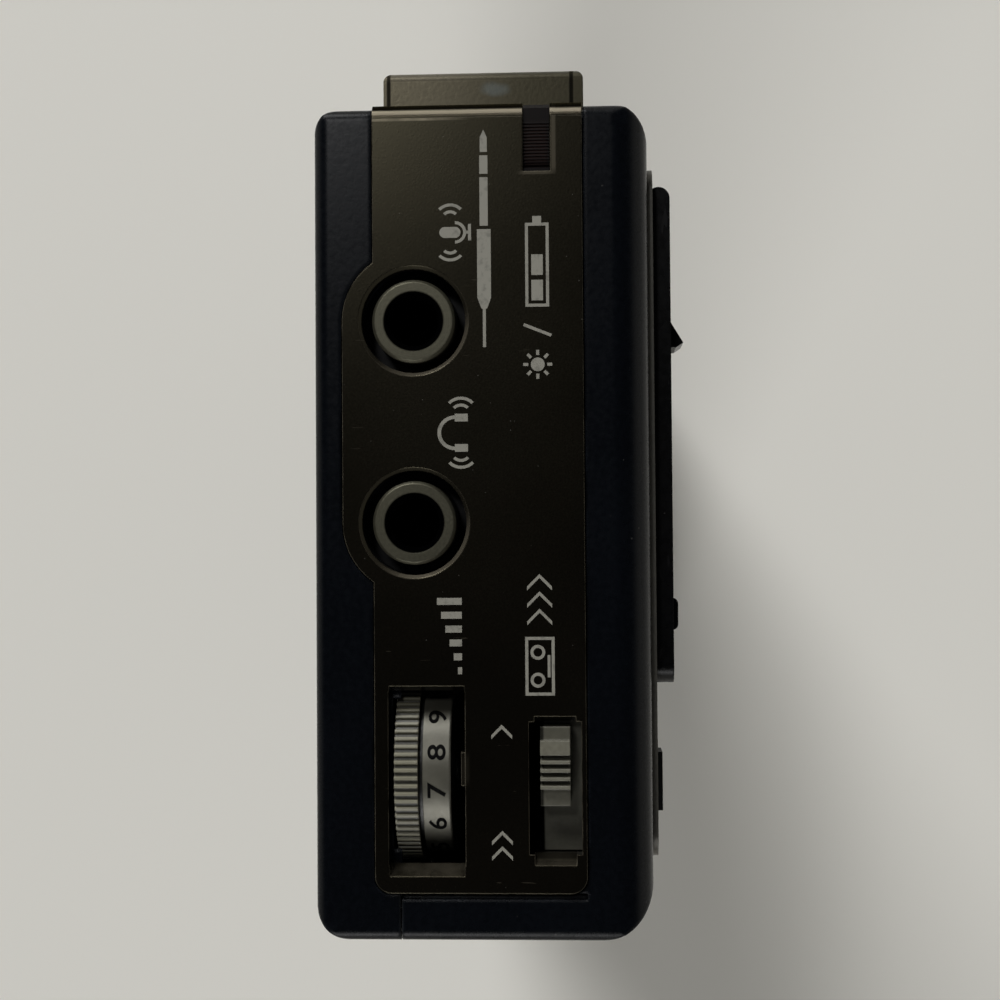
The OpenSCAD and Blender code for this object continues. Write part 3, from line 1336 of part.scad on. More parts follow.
module head_carriage() color(steel) difference() {
  union() {
    block([carriage_left, carriage_front, carriage_low], [carriage_right, carriage_rear, carriage_high]);
    block([carriage_left, lug_front, capstan_z - lug_half],
      [carriage_left + 0.7, carriage_rear, capstan_z + lug_half]);
    block([carriage_left, lug_front, capstan_z - lug_half + 0.3],
      [roller_x + 1.2, lug_front + lug_t, capstan_z + lug_half - 0.3]);
    rod_y(carriage_rear - 0.1, bar_rear, pin_x, pin_z, pin_r);
  }
  plate_xz(carriage_front - over, carriage_rear + 0.05)
    for (z = guide_at) slot_2d([guide_x - carriage_throw, z], [guide_x, z], guide_r + fit);
  rod_y(lug_front - over, carriage_rear + 0.05, roller_x, capstan_z, roller_pin_r + 0.02);
}

// Tape head with a rounded face toward the tape
module head(x0, x1, z, half, y0) plate_xz(y0, carriage_front) intersection() {
  translate([x0, z - half]) square([x1 - x0 + over, 2 * half]);
  translate([x1 - half * 1.15, z]) circle(half * 1.15);
}

module record_head() color(steel) head(carriage_left + 2.5, carriage_right - 0.1, lid_mid_z, 3.1, head_front);

module erase_head() color(black)
  head(carriage_left + 3.4, carriage_right - 0.3, lid_mid_z + 5.8, 1.7, head_front + 0.6);

module roller_pin() color(steel) rod_y(lug_front, carriage_rear, roller_x, capstan_z, roller_pin_r);

module pinch_roller() color(black) difference() {
  rod_y(roller_front, roller_rear, roller_x, capstan_z, roller_r);
  rod_y(roller_front - over, roller_rear + over, roller_x, capstan_z, roller_pin_r + fit);
}

// Ribbed outline of the wheel rim
module knurl_2d(r, count, depth) polygon([for (i = [0 : count - 1], k = [0 : 3])
  let (a = 360 / count * (i + [0.05, 0.4, 0.55, 0.9][k]), q = k < 2 ? r : r - depth)
    [q * cos(a), q * sin(a)]]);

module volume_wheel() color(grey) translate([wheel_x, 0, wheel_z]) difference() {
  union() {
    plate_xz(wheel_mid + wheel_groove, wheel_rear) knurl_2d(wheel_r, knurl_count, knurl_depth);
    turn_y(0, 0) polygon([[0, wheel_front], [band_r - 0.1, wheel_front], [band_r, wheel_front + 0.1],
      [band_r, wheel_mid], [band_r - wheel_groove, wheel_mid],
      [band_r - wheel_groove, wheel_mid + wheel_groove * 2], [0, wheel_mid + wheel_groove * 2]]);
  }
  rod_y(wheel_front - over, wheel_rear + over, 0, 0, pot_shaft_r + fit);
}

module speed_knob() color(grey) {
  top = panel_top + knob_proud;
  flat = panel_top - 0.15;
  block([skirt_left, speed_y - speed_slot_w / 2 - 0.35, skirt_top - skirt_t],
    [skirt_right, speed_y + speed_slot_w / 2 + 0.35, skirt_top]);
  plate_xz(speed_y - knob_w / 2, speed_y + knob_w / 2) {
    translate([knob_left, skirt_top - skirt_t / 2]) square([knob_l, flat - skirt_top + skirt_t / 2]);
    translate([knob_right - 2, flat - 0.1]) square([1.05, top - flat + 0.1]);
    for (i = [0 : 3]) translate([knob_right - 2.5 - i * knob_rib_pitch, flat - 0.1])
      polygon([[-0.2, 0], [0.2, 0], [0.12, top - flat + 0.1], [-0.12, top - flat + 0.1]]);
  }
  block([knob_left + 2.2, speed_y - lever_w / 2, switch_top - 1],
    [knob_right - 2.2, speed_y + lever_w / 2, skirt_top - skirt_t / 2]);
}

module reset_button() color(black) {
  block([reset_left, plate_front - reset_travel, reset_low],
    [reset_left + reset_w, in_front + 0.3, reset_low + reset_h]);
  block([reset_left - reset_lip, in_front + seam, reset_low - reset_lip],
    [reset_left + reset_w + reset_lip, in_front + 0.7, reset_low + reset_h + reset_lip]);
}

front_shell();
rear_shell();
trim_panel();
front_plate();
cassette_well();
deck_plate();
speaker_grille();
speaker_frame();
speaker_magnet();
speaker_cone();
microphone();
circuit_board();
board_components();
mic_jack_bushing();
ear_jack_bushing();
jack_housings();
volume_pot();
speed_switch();
led_lens();
led_lamp();
counter_lens();
counter_frame();
counter_shaft();
lid_hinge_pin();
door_hinge_pin();
case_screws();
deck_screws();
battery_cells();
battery_contacts();
contact_bridge();
motor();
drive_belt();
capstan_bearing();
flywheel_bracket();
cassette_lid();
lid_window();
lid_latch();
battery_door();
slider_knob();
slider_shield();
mode_bar();
head_carriage();
record_head();
erase_head();
roller_pin();
pinch_roller();
volume_wheel();
speed_knob();
reset_button();
flywheel();
capstan();
motor_pulley();
takeup_spindle();
supply_spindle();
idler_wheel();
counter_units();
counter_tens();
counter_hundreds();
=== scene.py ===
"""Looks of a pocket microcassette recorder: finishes, dial figures, printed signs, light and camera."""

import json
import math

import bmesh
import bpy
from bpy.props import FloatProperty, FloatVectorProperty, PointerProperty
from mathutils import Matrix, Vector


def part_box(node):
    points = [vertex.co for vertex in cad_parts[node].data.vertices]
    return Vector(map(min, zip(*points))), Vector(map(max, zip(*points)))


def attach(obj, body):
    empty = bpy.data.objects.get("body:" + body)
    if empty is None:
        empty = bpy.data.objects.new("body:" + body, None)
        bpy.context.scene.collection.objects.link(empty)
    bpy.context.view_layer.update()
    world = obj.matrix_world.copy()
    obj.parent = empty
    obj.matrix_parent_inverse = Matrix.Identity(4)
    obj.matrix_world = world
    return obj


bl_info = {
    "name": "Microcassette Recorder Looks",
    "version": (1, 0, 0),
    "blender": (4, 5, 0),
    "location": "View3D > Sidebar > Recorder",
    "description": "Finishes, figures, printed signs and a photo stage for the recorder",
    "category": "Object",
}

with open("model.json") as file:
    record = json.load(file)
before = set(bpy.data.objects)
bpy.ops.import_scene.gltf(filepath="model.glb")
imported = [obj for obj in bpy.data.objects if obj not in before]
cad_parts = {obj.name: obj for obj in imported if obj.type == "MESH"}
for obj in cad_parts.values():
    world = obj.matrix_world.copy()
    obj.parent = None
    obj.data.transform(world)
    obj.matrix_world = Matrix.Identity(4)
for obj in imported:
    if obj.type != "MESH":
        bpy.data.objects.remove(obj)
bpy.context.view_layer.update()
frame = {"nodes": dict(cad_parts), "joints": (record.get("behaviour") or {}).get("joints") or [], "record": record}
JOINTS = {joint["name"]: joint for joint in frame["joints"]}
MM = 0.001

# Width of the strips that let a flat figure follow a round wheel, in millimetres
STRIP = 0.12

# Places of the lamps, in metres
KEY_PLACE = (0.46, 0.2, 0.37)
SIDE_PLACE = (-0.46, 0.1, 0.42)
SHEEN_PLACE = (0.21, 0.11, 0.6)


def low(node):
    """Lowest corner of a CAD node, in millimetres."""
    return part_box(node)[0] / MM


def high(node):
    """Highest corner of a CAD node, in millimetres."""
    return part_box(node)[1] / MM


def middle(node):
    """Centre of a CAD node's box, in millimetres."""
    return (low(node) + high(node)) / 2


def tone(code):
    """Linear colour of a six-digit hex code."""
    parts = [int(code[i : i + 2], 16) / 255 for i in (0, 2, 4)]
    return [p / 12.92 if p <= 0.04045 else ((p + 0.055) / 1.055) ** 2.4 for p in parts]


def size(name, default, description):
    """A length property, its default in millimetres."""
    return FloatProperty(
        name=name, description=description, default=default * MM, unit="LENGTH", precision=5
    )


def angle(name, default, description):
    """An angle property, its default in degrees."""
    return FloatProperty(name=name, description=description, default=math.radians(default), subtype="ANGLE")


def power(name, default, description):
    """The strength of a lamp: watts, or watts to each square metre for a far one."""
    return FloatProperty(name=name, description=description, default=default, min=0, unit="POWER")


def colour(name, code, description):
    """A colour property."""
    return FloatVectorProperty(
        name=name, description=description, default=tone(code), subtype="COLOR", size=3, min=0, max=1
    )


class RecorderSizes(bpy.types.PropertyGroup):
    """Sizes of what is printed on the recorder, and of the stage."""

    ink: size("Ink", 0.02, "How far a print stands above its surface")
    sunk: size("Sunk", 0.03, "How far a print reaches below its surface")
    edge: size("Edge", 0.13, "Radius that sharp edges are worn to")
    shell_edge: size("Shell edge", 0.4, "Radius that the edges of the case are worn to")
    dial_figure: size("Dial figure", 1.32, "Height of a figure on the volume wheel")
    dial_stretch: FloatProperty(name="Dial stretch", description="Widening of those figures", default=1.35)
    band_width: size("Band width", 2.05, "Width of the numbered band of the volume wheel")
    band_radius: size("Band radius", 6.55, "Radius of that band")
    # The black of that mouth is painted shade.
    jack_mouth: size("Jack mouth", 2.12, "Radius of the black mouth of a jack collar")
    jack_rim: size("Jack rim", 3.9, "Radius of the worn rim of a jack hole")
    counter_figure: size("Counter figure", 2.1, "Height of a figure on a counter wheel")
    stroke: size("Stroke", 0.22, "Line width of the printed signs")
    camera_rise: size("Camera rise", 121, "Height of the camera above the top end")
    camera_right: size("Camera right", -3.6, "How far the camera stands toward the right side")
    camera_back: size("Camera back", -6.1, "How far the camera stands toward the back")
    target_right: size("Target right", 1.5, "How far toward the right side the camera looks")
    target_back: size("Target back", -1.345, "How far toward the back the camera looks")
    view_width: size("View width", 72.3, "Width that the picture covers at the top end")
    camera_roll: angle("Camera roll", 0.4, "Clockwise turn of the camera about its view")
    dial_pitch: angle("Dial pitch", 24, "Turn from one figure of the volume wheel to the next")
    dial_value: FloatProperty(name="Dial value", description="Volume that the wheel is set to", default=7.38)
    key_strength: power("Key strength", 2.4, "Broad lamp beyond the right side, per square metre")
    side_strength: power("Side strength", 1.1, "Broad lamp beyond the left side, per square metre")
    lamp_spread: angle("Lamp spread", 28, "How wide the two broad lamps look from the recorder")
    sheen_power: power("Sheen power", 0.36, "Small lamp that glances off the trim panel")
    sheen_width: size("Sheen width", 80, "Width of that small lamp")
    haze_top: angle("Haze top", 10, "Height up to which the backdrop is pale")
    dark_top: angle("Dark top", 38, "Height from which the room overhead is dark")
    floor_reach: size("Floor reach", 3000, "How far the floor reaches to each side")


class RecorderColours(bpy.types.PropertyGroup):
    """Colours of the recorder and its stage."""

    shell: colour("Shell", "05070b", "Moulded case halves")
    # This colour also stands for the painted highlight along the edges of the case.
    rub: colour("Rub", "262a31", "Shell where hands have rubbed it")
    bronze: colour("Bronze", "060504", "Painted trim panel")
    sheen: colour("Sheen", "fff3cb", "Light off the paint of the panel and the slider")
    # This colour also makes the painted highlights on the panel and the painted sheen on the slider.
    bare: colour("Bare", "8a8272", "Paint worn thin along the edges of the panel")
    plate: colour("Plate", "5c5a54", "Satin front plate")
    lid: colour("Lid", "060607", "Cassette lid and latch")
    smoke: colour("Smoke", "1b1d20", "Clear windows")
    slider: colour("Slider", "2a2820", "Thumb slider")
    chip: colour("Chip", "5a6468", "Bare plastic under the worn paint")
    collar: colour("Collar", "565447", "Jack collars")
    rim: colour("Rim", "787563", "Ribbed rim of the wheel")
    knob: colour("Knob", "656357", "Speed knob")
    band: colour("Band", "646258", "Silver band of the wheel")
    black: colour("Black", "08080a", "Plain black mouldings")
    figure: colour("Figure", "0a0a0a", "Figures on the silver band")
    lens: colour("Lens", "1c0e0b", "Indicator lens")
    steel: colour("Steel", "a8a7a2", "Sheet steel")
    brass: colour("Brass", "b08f52", "Turned brass")
    rubber: colour("Rubber", "19191a", "Belt and rollers")
    white: colour("White", "cfccc2", "Pale acetal")
    ink: colour("Ink", "85837a", "Printed signs")
    dust: colour("Dust", "8f8c86", "Dust and lint")
    board: colour("Board", "1f5a35", "Circuit board")
    cell: colour("Cell", "2b2d33", "Sleeve of the dry cells")
    copper: colour("Copper", "a2683c", "Band of the dry cells")
    paper: colour("Paper", "34322f", "Speaker cone")
    floor: colour("Floor", "e8e6df", "Studio floor")
    haze: colour("Haze", "cbc9c2", "Backdrop beyond the floor")
    dark: colour("Dark", "262626", "Room overhead")


class Wire:
    """A socket in a node tree that takes part in sums with numbers and other sockets."""

    def __init__(self, tree, socket=None):
        self.tree = tree
        self.socket = socket

    def add(self, kind, settings=None, sockets=None, out=0):
        """Add a node with its settings first and then its sockets, and give back one output."""
        node = self.tree.nodes.new(kind)
        for key, value in (settings or {}).items():
            setattr(node, key, value)
        for key, value in (sockets or {}).items():
            if isinstance(value, Wire):
                self.tree.links.new(value.socket, node.inputs[key])
            else:
                node.inputs[key].default_value = value
        return Wire(self.tree, node.outputs[out])

    def sum(self, operation, *values):
        """One Math node on sockets and numbers."""
        return self.add("ShaderNodeMath", {"operation": operation}, dict(enumerate(values)))

    def __add__(self, other):
        return self.sum("ADD", self, other)

    def __sub__(self, other):
        return self.sum("SUBTRACT", self, other)

    def __mul__(self, other):
        return self.sum("MULTIPLY", self, other)

    def __rsub__(self, other):
        return self.sum("SUBTRACT", other, self)

    __radd__ = __add__
    __rmul__ = __mul__

    def __abs__(self):
        return self.sum("ABSOLUTE", self)

    def wave(self):
        """Sine of this, from 0 to 1."""
        return self.sum("SINE", self) * 0.5 + 0.5

    def reach(self, other):
        """Length of the diagonal that this and another distance span."""
        return self.sum("SQRT", self * self + other * other)

    def least(self, other):
        """The smaller of this and another value."""
        return self.sum("MINIMUM", self, other)

    def fade(self, start, end):
        """0 at start and 1 at end, eased between; start may be the larger."""
        return self.add(
            "ShaderNodeMapRange",
            {"interpolation_type": "SMOOTHSTEP"},
            {"Value": self, "From Min": start, "From Max": end},
        )

    def near(self, place, width):
        """1 at a place and 0 beyond that width to either side of it."""
        return abs(self - place).fade(width, width * 0.4)

    def blend(self, first, second):
        """The first colour where this is 0 and the second where it is 1."""
        return self.add("ShaderNodeMix", {"data_type": "RGBA"}, {0: self, 6: first, 7: second}, 2)


class Ground(Wire):
    """The start of a finish: places on the piece in millimetres, and patterns laid over them."""

    def __init__(self, tree, edge):
        super().__init__(tree)
        where = self.add("ShaderNodeTexCoord", out="Object")
        self.point = self.add("ShaderNodeVectorMath", {"operation": "SCALE"}, {0: where, "Scale": 1 / MM})
        self.x, self.y, self.z = (
            self.add("ShaderNodeSeparateXYZ", None, {0: self.point}, axis) for axis in range(3)
        )
        self.rounded = self.add("ShaderNodeBevel", {"samples": 6}, {"Radius": edge})
        self.edge = self.facing(self.rounded).fade(0.97, 0.78)

    def facing(self, way):
        """How nearly the bare surface faces that way, 1 when it faces it fully."""
        flat = self.add("ShaderNodeNewGeometry", out="True Normal")
        return self.add("ShaderNodeVectorMath", {"operation": "DOT_PRODUCT"}, {0: flat, 1: way}, "Value")

    def noise(self, scale, detail=2.0, stretch=(1, 1, 1)):
        """Soft noise from 0 to 1, with so many grains to a millimetre."""
        at = self.add("ShaderNodeVectorMath", {"operation": "MULTIPLY"}, {0: self.point, 1: stretch})
        return self.add("ShaderNodeTexNoise", None, {"Vector": at, "Scale": scale, "Detail": detail})

    def specks(self, scale, share):
        """Small spots over that share of the surface."""
        cells = self.add("ShaderNodeTexVoronoi", None, {"Vector": self.point, "Scale": scale})
        return cells.fade(share, share * 0.5)

    def relief(self, height, depth):
        """A bumpy normal over worn edges, from a height pattern, its depth in millimetres."""
        return self.add(
            "ShaderNodeBump",
            None,
            {"Strength": 0.6, "Distance": depth * MM, "Height": height, "Normal": self.rounded},
            "Normal",
        )


def paint(rgb, factor=1.0):
    """A colour property as a shader colour, made lighter or darker."""
    return tuple(min(1.0, c * factor) for c in rgb) + (1.0,)


def moulded(ground, look, rgb, rough=0.45, grain=2.6, dust=0.0, gloss=0.5, depth=0.012):
    """Moulded plastic: a fine-grained skin, a little uneven, with some dust in it."""
    fine, broad = ground.noise(grain), ground.noise(0.09, 4)
    base = (fine * 0.45 + broad * 0.55).fade(0.25, 0.8).blend(paint(rgb, 0.8), paint(rgb, 1.22))
    if dust:
        base = (ground.specks(0.55, 0.05) * dust).blend(base, paint(look.dust))
    return {
        "Base Color": base,
        "Roughness": fine * 0.16 + broad * 0.1 + (rough - 0.13),
        "Specular IOR Level": gloss,
        "Normal": ground.relief(fine, depth),
    }


def brushed(ground, rgb, rough=0.34, along=(1, 1, 0.04), metal=0.95):
    """Metal with a drawn grain along one direction."""
    grain, broad = ground.noise(5, 3, along), ground.noise(0.15, 3)
    return {
        "Base Color": (grain * 0.6 + broad * 0.4).fade(0.2, 0.85).blend(paint(rgb, 0.78), paint(rgb, 1.15)),
        "Roughness": grain * 0.2 + broad * 0.14 + (rough - 0.17),
        "Metallic": metal,
        "Normal": ground.relief(grain, 0.012),
    }


def shell_finish(ground, look):
    """Blue-black matt case, paler along its edges and upright corners: wear, with a painted highlight along the
    edges.
    """
    made = moulded(ground, look, look.shell, 0.27, 2.2, 0.1, 0.14, 0.008)
    # Painted highlight along the edges, mixed with wear.
    rub = ground.edge * ground.noise(0.35, 5).fade(0.34, 0.62)
    corner = high("rear_shell")
    across = abs(ground.x).fade(corner.x - 1.9, corner.x - 0.1)
    along = abs(ground.y).fade(corner.y - 2.65, corner.y - 0.25)
    worn = rub * 0.55 + across * along * ground.noise(0.3, 5).fade(0.45, 0.68) * 0.35
    made["Base Color"] = worn.blend(made["Base Color"], paint(look.rub))
    return made


def panel_wear(ground):
    """Where the trim panel is painted pale: highlights along the bend and the crease, round the lens rim, on the
    lit side of the jack holes and at the index bump; the bend also shows worn paint.
    """
    corner, foot, lens = high("trim_panel"), low("led_lens"), middle("led_lens")
    flat = ground.z.fade(corner.z - 1.2, corner.z - 0.6)
    bend = ground.x.near(corner.x - 0.76, 0.27) * (ground.noise(0.3, 3) + 0.6)
    crease = ground.x.near(corner.x - 1.22, 0.13) * ground.y.fade(0.4, 4) * ground.noise(0.9, 3) * 0.8
    beside = ground.y.near(foot.y - 0.3, 0.22) * ground.x.fade(foot.x - 0.35, foot.x + 0.3)
    below = ground.x.near(foot.x - 0.16, 0.18) * ground.y.near(lens.y, 1.6)
    # Painted highlights along the bend, the crease and the lens rim; the bend line also stands for worn paint.
    worn = (bend + crease + beside * 0.13 + below * 0.13) * flat
    rim = bpy.context.scene.recorder_sizes.jack_rim / MM
    for jack in (middle("mic_jack_bushing"), middle("ear_jack_bushing")):
        across, along = ground.y - jack.y, ground.x - jack.x
        # Painted highlight on the side of each jack hole that faces the light.
        lit = (along * 0.85 + across * 0.5).fade(-0.8, -3.4)
        worn = worn + along.reach(across).near(rim, 0.24) * lit * 0.14
    # A faint painted highlight at the index bump.
    index = ground.x.near(middle("volume_wheel").x + 0.45, 1.4)
    return worn + index * ground.y.near(low("volume_wheel").y - 1.05, 0.4) * 0.02


def panel_soot(ground, slope):
    """Where the trim panel is painted black as shade: the slope at the foot of the speed slot, and the turn to the
    side.
    """
    corner, knob, foot = high("trim_panel"), middle("speed_knob"), low("trim_panel").x + 2.25
    slot = ground.y.fade(knob.y + 3, knob.y + 2) * ground.x.fade(foot, foot + 0.25)
    turned = ground.x.fade(corner.x - 0.55, corner.x - 0.42) * ground.z.fade(corner.z - 0.85, corner.z - 0.7)
    return slope * slot * 0.7 + turned * 0.9


def bronze_finish(ground, look):
    """Dark bronze paint with fine flake and faint scratches, its edges and light-facing slopes painted pale as
    highlights over wear, and painted black as shade at the foot of the speed slot and on the turn to the side.
    """
    flake, broad = ground.noise(7, 2), ground.noise(0.07, 3)
    mottle = (flake * 0.35 + broad * 0.65).fade(0.28, 0.75)
    base = mottle.blend(paint(look.bronze, 0.78), paint(look.bronze, 1.25))
    drawn = ground.noise(1.1, 2, (3.2, 0.35, 0.35)).fade(0.735, 0.76)
    scratched = drawn * ground.noise(0.12, 2).fade(0.45, 0.6) * 0.06
    base = scratched.blend(base, paint(look.bare))
    base = (ground.specks(0.9, 0.045) * 0.2).blend(base, paint(look.dust))
    # Slopes that face the light: painted as a highlight here, and painted as shade at the speed slot.
    slope = ground.facing((0.8, 0, 0.6)).fade(0.95, 0.99) * ground.x.fade(0, -1)
    # Edges painted pale: wear with a painted highlight.
    rubbed_and_lit = ground.noise(0.5, 4).fade(0.28, 0.6) * (ground.edge * 0.3 + slope * 0.06)
    base = (panel_wear(ground) + rubbed_and_lit).least(1).blend(base, paint(look.bare, 1.2))
    # Painted shade, made black and metallic so that it reflects nothing.
    painted_shade = panel_soot(ground, slope)
    return {
        "Base Color": painted_shade.blend(base, paint(look.black, 0.3)),
        "Roughness": flake * 0.1 + broad * 0.08 + painted_shade * 0.7 + 0.16,
        "Metallic": painted_shade,
        "Specular IOR Level": 0.3,
        "Specular Tint": paint(look.sheen),
        "Normal": ground.relief(flake, 0.004),
    }


def slider_finish(ground, look):
    """Olive paint on plastic, worn at its edges, with a bluish bare patch, lighter toward the back as a painted
    sheen, and a dark line near each end painted as shade in the gaps.
    """
    made = moulded(ground, look, look.slider, 0.3, 3, 0, 0.35)
    made["Specular Tint"] = paint(look.sheen)
    foot, tip = low("slider_knob"), high("slider_knob")
    end = ground.z.fade(tip.z - 1.2, tip.z - 0.1)
    # Painted sheen: the paint is made lighter toward the back.
    painted_sheen_base = ground.y.fade(-4, 5).blend(made["Base Color"], paint(look.bare, 0.32))
    worn = ground.edge * ground.noise(0.8, 4).fade(0.35, 0.6) * 0.5
    base = worn.blend(painted_sheen_base, paint(look.bare, 1.25))
    patch = ((ground.y + 0.9) * 0.5).reach(ground.x - (tip.x - 1.45)).fade(1.1, 0.1) * end
    chips = (ground.noise(0.5, 4, (1, 1, 0.6)) * 0.6 + patch * 0.45).fade(0.4, 0.75)
    base = (chips * 0.6).blend(base, paint(look.chip))
    # Painted shade in the gaps: a dark line near each end, metallic so that it reflects nothing.
    lines = ground.y.near(tip.y - 0.4, 0.2) + ground.y.near(foot.y + 0.9, 0.22)
    painted_gap_shade = lines * end * 0.8
    made["Base Color"] = painted_gap_shade.blend(base, paint(look.black, 0.6))
    made["Roughness"] = made["Roughness"] + painted_gap_shade * 0.6
    made["Metallic"] = painted_gap_shade
    return made


def collar_finish(ground, look):
    """Dull plated collar, its turned face ringed and its bore painted black as shade."""
    mic, ear = middle("mic_jack_bushing"), middle("ear_jack_bushing")
    radius = (ground.x - mic.x).reach(ground.y - mic.y).least((ground.x - ear.x).reach(ground.y - ear.y))
    made = brushed(ground, look.collar, 0.42, (1, 1, 1))
    base = ((radius * 42).wave() * 0.35).blend(made["Base Color"], paint(look.collar, 0.7))
    # Painted shade: the bore is black and metallic so that it reflects nothing.
    mouth = bpy.context.scene.recorder_sizes.jack_mouth / MM
    face = radius.fade(mouth, mouth + 0.18)
    made["Base Color"] = face.blend(paint(look.black, 0.3), base)
    made["Metallic"] = 1 - face * 0.2
    made["Roughness"] = made["Roughness"] + (1 - face) * 0.5
    return made


def wheel_finish(ground, look):
    """Volume wheel: grey-beige ribbed rim, darker between the ribs, and a silver band."""
    sizes = bpy.context.scene.recorder_sizes
    axis = Vector(JOINTS["volume_turn"]["pos_m"]) / MM
    above = (ground.x - axis.x).reach(ground.z - axis.z) - sizes.band_radius / MM
    fine, broad = ground.noise(4), ground.noise(0.5, 4)
    rim = above.fade(0.2, 0.42).blend(paint(look.rim, 0.2), paint(look.rim))
    rim = (broad.fade(0.5, 0.75) * 0.4).blend(rim, paint(look.rim, 0.65))
    band = broad.fade(0.35, 0.75).blend(paint(look.band, 0.78), paint(look.band, 1.1))
    seam = low("volume_wheel").y + sizes.band_width / MM
    silver = ground.y.fade(seam + 0.06, seam - 0.01)
    groove = above.fade(-0.05, -0.17)
    base = (groove * 0.85).blend(silver.blend(rim, band), paint(look.black))
    return {
        "Base Color": base,
        "Roughness": fine * 0.14 + broad * 0.1 + 0.28,
        "Metallic": silver * 0.45,
        "Normal": ground.relief(fine, 0.008),
    }


def knob_finish(ground, look):
    """Speed knob: pale ribs over a darker skirt, which is black where the panel shades it."""
    made = moulded(ground, look, look.knob, 0.42, 3)
    top, centre = high("speed_knob").z, middle("speed_knob")
    sunk = ground.z.fade(top - 0.25, top - 0.85)
    hidden = sunk * ground.y.fade(centre.y + 0.75, centre.y + 0.95)
    skirt = (sunk * 0.6).blend(made["Base Color"], paint(look.knob, 0.3))
    made["Base Color"] = hidden.blend(skirt, paint(look.black, 0.3))
    made["Metallic"] = hidden
    return made


def lens_finish(ground, look):
    """Dark red lens; the crests of its ribs are painted paler as highlights, but only inside a window, so that its
    sides stay dark as painted shade.
    """
    top, centre = high("led_lens").z, middle("led_lens")
    # Painted highlight on the crests of the ribs, within a window; the sides stay dark as painted shade.
    crest_highlight = ground.z.fade(top - 0.14, top - 0.02)
    shown = ground.x.near(centre.x - 0.5, 2) * ground.y.fade(centre.y - 0.9, centre.y - 0.6)
    return {
        "Base Color": (crest_highlight * shown).blend(paint(look.lens, 0.15), paint(look.lens, 0.8)),
        "Roughness": ground.noise(2) * 0.2 + 0.3,
        "Specular IOR Level": 0.12,
    }


def plate_finish(ground, look):
    """Satin aluminium, brushed along the case."""
    made = brushed(ground, look.plate, 0.4, (1, 1, 0.02))
    made["Metallic"] = 0.85 - ground.facing((0, 0, 1)).fade(0.3, 0.8) * 0.45
    return made


def lid_finish(ground, look):
    """Black lid with a soft shine, fine hairlines and dust."""
    made = moulded(ground, look, look.lid, 0.28, 1.6, 0.12, 0.2, 0.003)
    hair = ground.noise(1.4, 2, (0.2, 1, 2.6)).fade(0.7, 0.74)
    made["Roughness"] = made["Roughness"] + hair * 0.2
    return made


def clear_finish(ground, look):
    """Smoked clear plastic."""
    return {"Base Color": paint(look.smoke), "Roughness": ground.noise(0.8, 3) * 0.08 + 0.04, "Alpha": 0.32}


def cell_finish(ground, look):
    """Dry cells: a dark sleeve, a copper band and bare metal ends."""
    foot, head = low("battery_cells").z, high("battery_cells").z
    length = head - foot
    left = ground.x.fade(0.1, -0.1)
    along = left * (ground.z - foot) + (1 - left) * (head - ground.z)
    band = along.fade(length * 0.7, length * 0.705)
    bare = along.fade(length - 1.7, length - 1.5) + along.fade(0.45, 0.35)
    base = bare.blend(band.blend(paint(look.cell), paint(look.copper)), paint(look.steel))
    metal = band * 0.6 + bare * 0.3
    return {"Base Color": base, "Roughness": ground.noise(1) * 0.2 + 0.22, "Metallic": metal}


def board_finish(ground, look):
    """Green laminate with paler tracks."""
    track = (ground.x * 2.2 + ground.noise(0.12, 1) * 14).wave().fade(0.78, 0.85)
    base = track.blend(paint(look.board, 0.8), paint(look.board, 1.5))
    return {"Base Color": base, "Roughness": track * 0.1 + 0.32}


def black_finish(ground, look):
    """Plain black moulding."""
    return moulded(ground, look, look.black, 0.5, 2.4, 0.12, 0.22)


def figure_finish(ground, look):
    """Black print on the silver band."""
    worn = ground.noise(1.2, 4)
    base = worn.fade(0.55, 0.8).blend(paint(look.figure), paint(look.figure, 2.5))
    return {"Base Color": base, "Roughness": worn * 0.2 + 0.5, "Specular IOR Level": 0.03}


def steel_finish(ground, look):
    """Plated sheet steel."""
    return brushed(ground, look.steel)


def dull_finish(ground, look):
    """Steel painted dark as shade, deep under the volume wheel."""
    return brushed(ground, [c * 0.15 for c in look.steel], 0.6)


def brass_finish(ground, look):
    """Turned brass."""
    return brushed(ground, look.brass, 0.3, (1, 0.1, 1))


def rubber_finish(ground, look):
    """Dull black rubber."""
    return moulded(ground, look, look.rubber, 0.7, 1.8)


def white_finish(ground, look):
    """Pale acetal, also used for the figures of the counter."""
    return moulded(ground, look, look.white, 0.38, 2)


def paper_finish(ground, look):
    """Pressed paper with a fibrous skin."""
    made = moulded(ground, look, look.paper, 0.75, 1.2)
    made["Normal"] = ground.relief(ground.noise(1.6, 5), 0.08)
    return made


def ink_finish(ground, look):
    """Grey print, worn thin in places."""
    worn = ground.noise(2.4, 4)
    base = worn.fade(0.5, 0.75).blend(paint(look.ink), paint(look.ink, 0.7))
    return {"Base Color": base, "Roughness": worn * 0.2 + 0.45, "Specular IOR Level": 0.25}


FINISHES = {
    "shell": shell_finish,
    "bronze": bronze_finish,
    "plate": plate_finish,
    "lid": lid_finish,
    "clear": clear_finish,
    "slider": slider_finish,
    "black": black_finish,
    "collar": collar_finish,
    "wheel": wheel_finish,
    "knob": knob_finish,
    "lens": lens_finish,
    "steel": steel_finish,
    "dull": dull_finish,
    "brass": brass_finish,
    "rubber": rubber_finish,
    "white": white_finish,
    "board": board_finish,
    "cell": cell_finish,
    "paper": paper_finish,
    "numbers": black_finish,
    "figure": figure_finish,
    "ink": ink_finish,
}


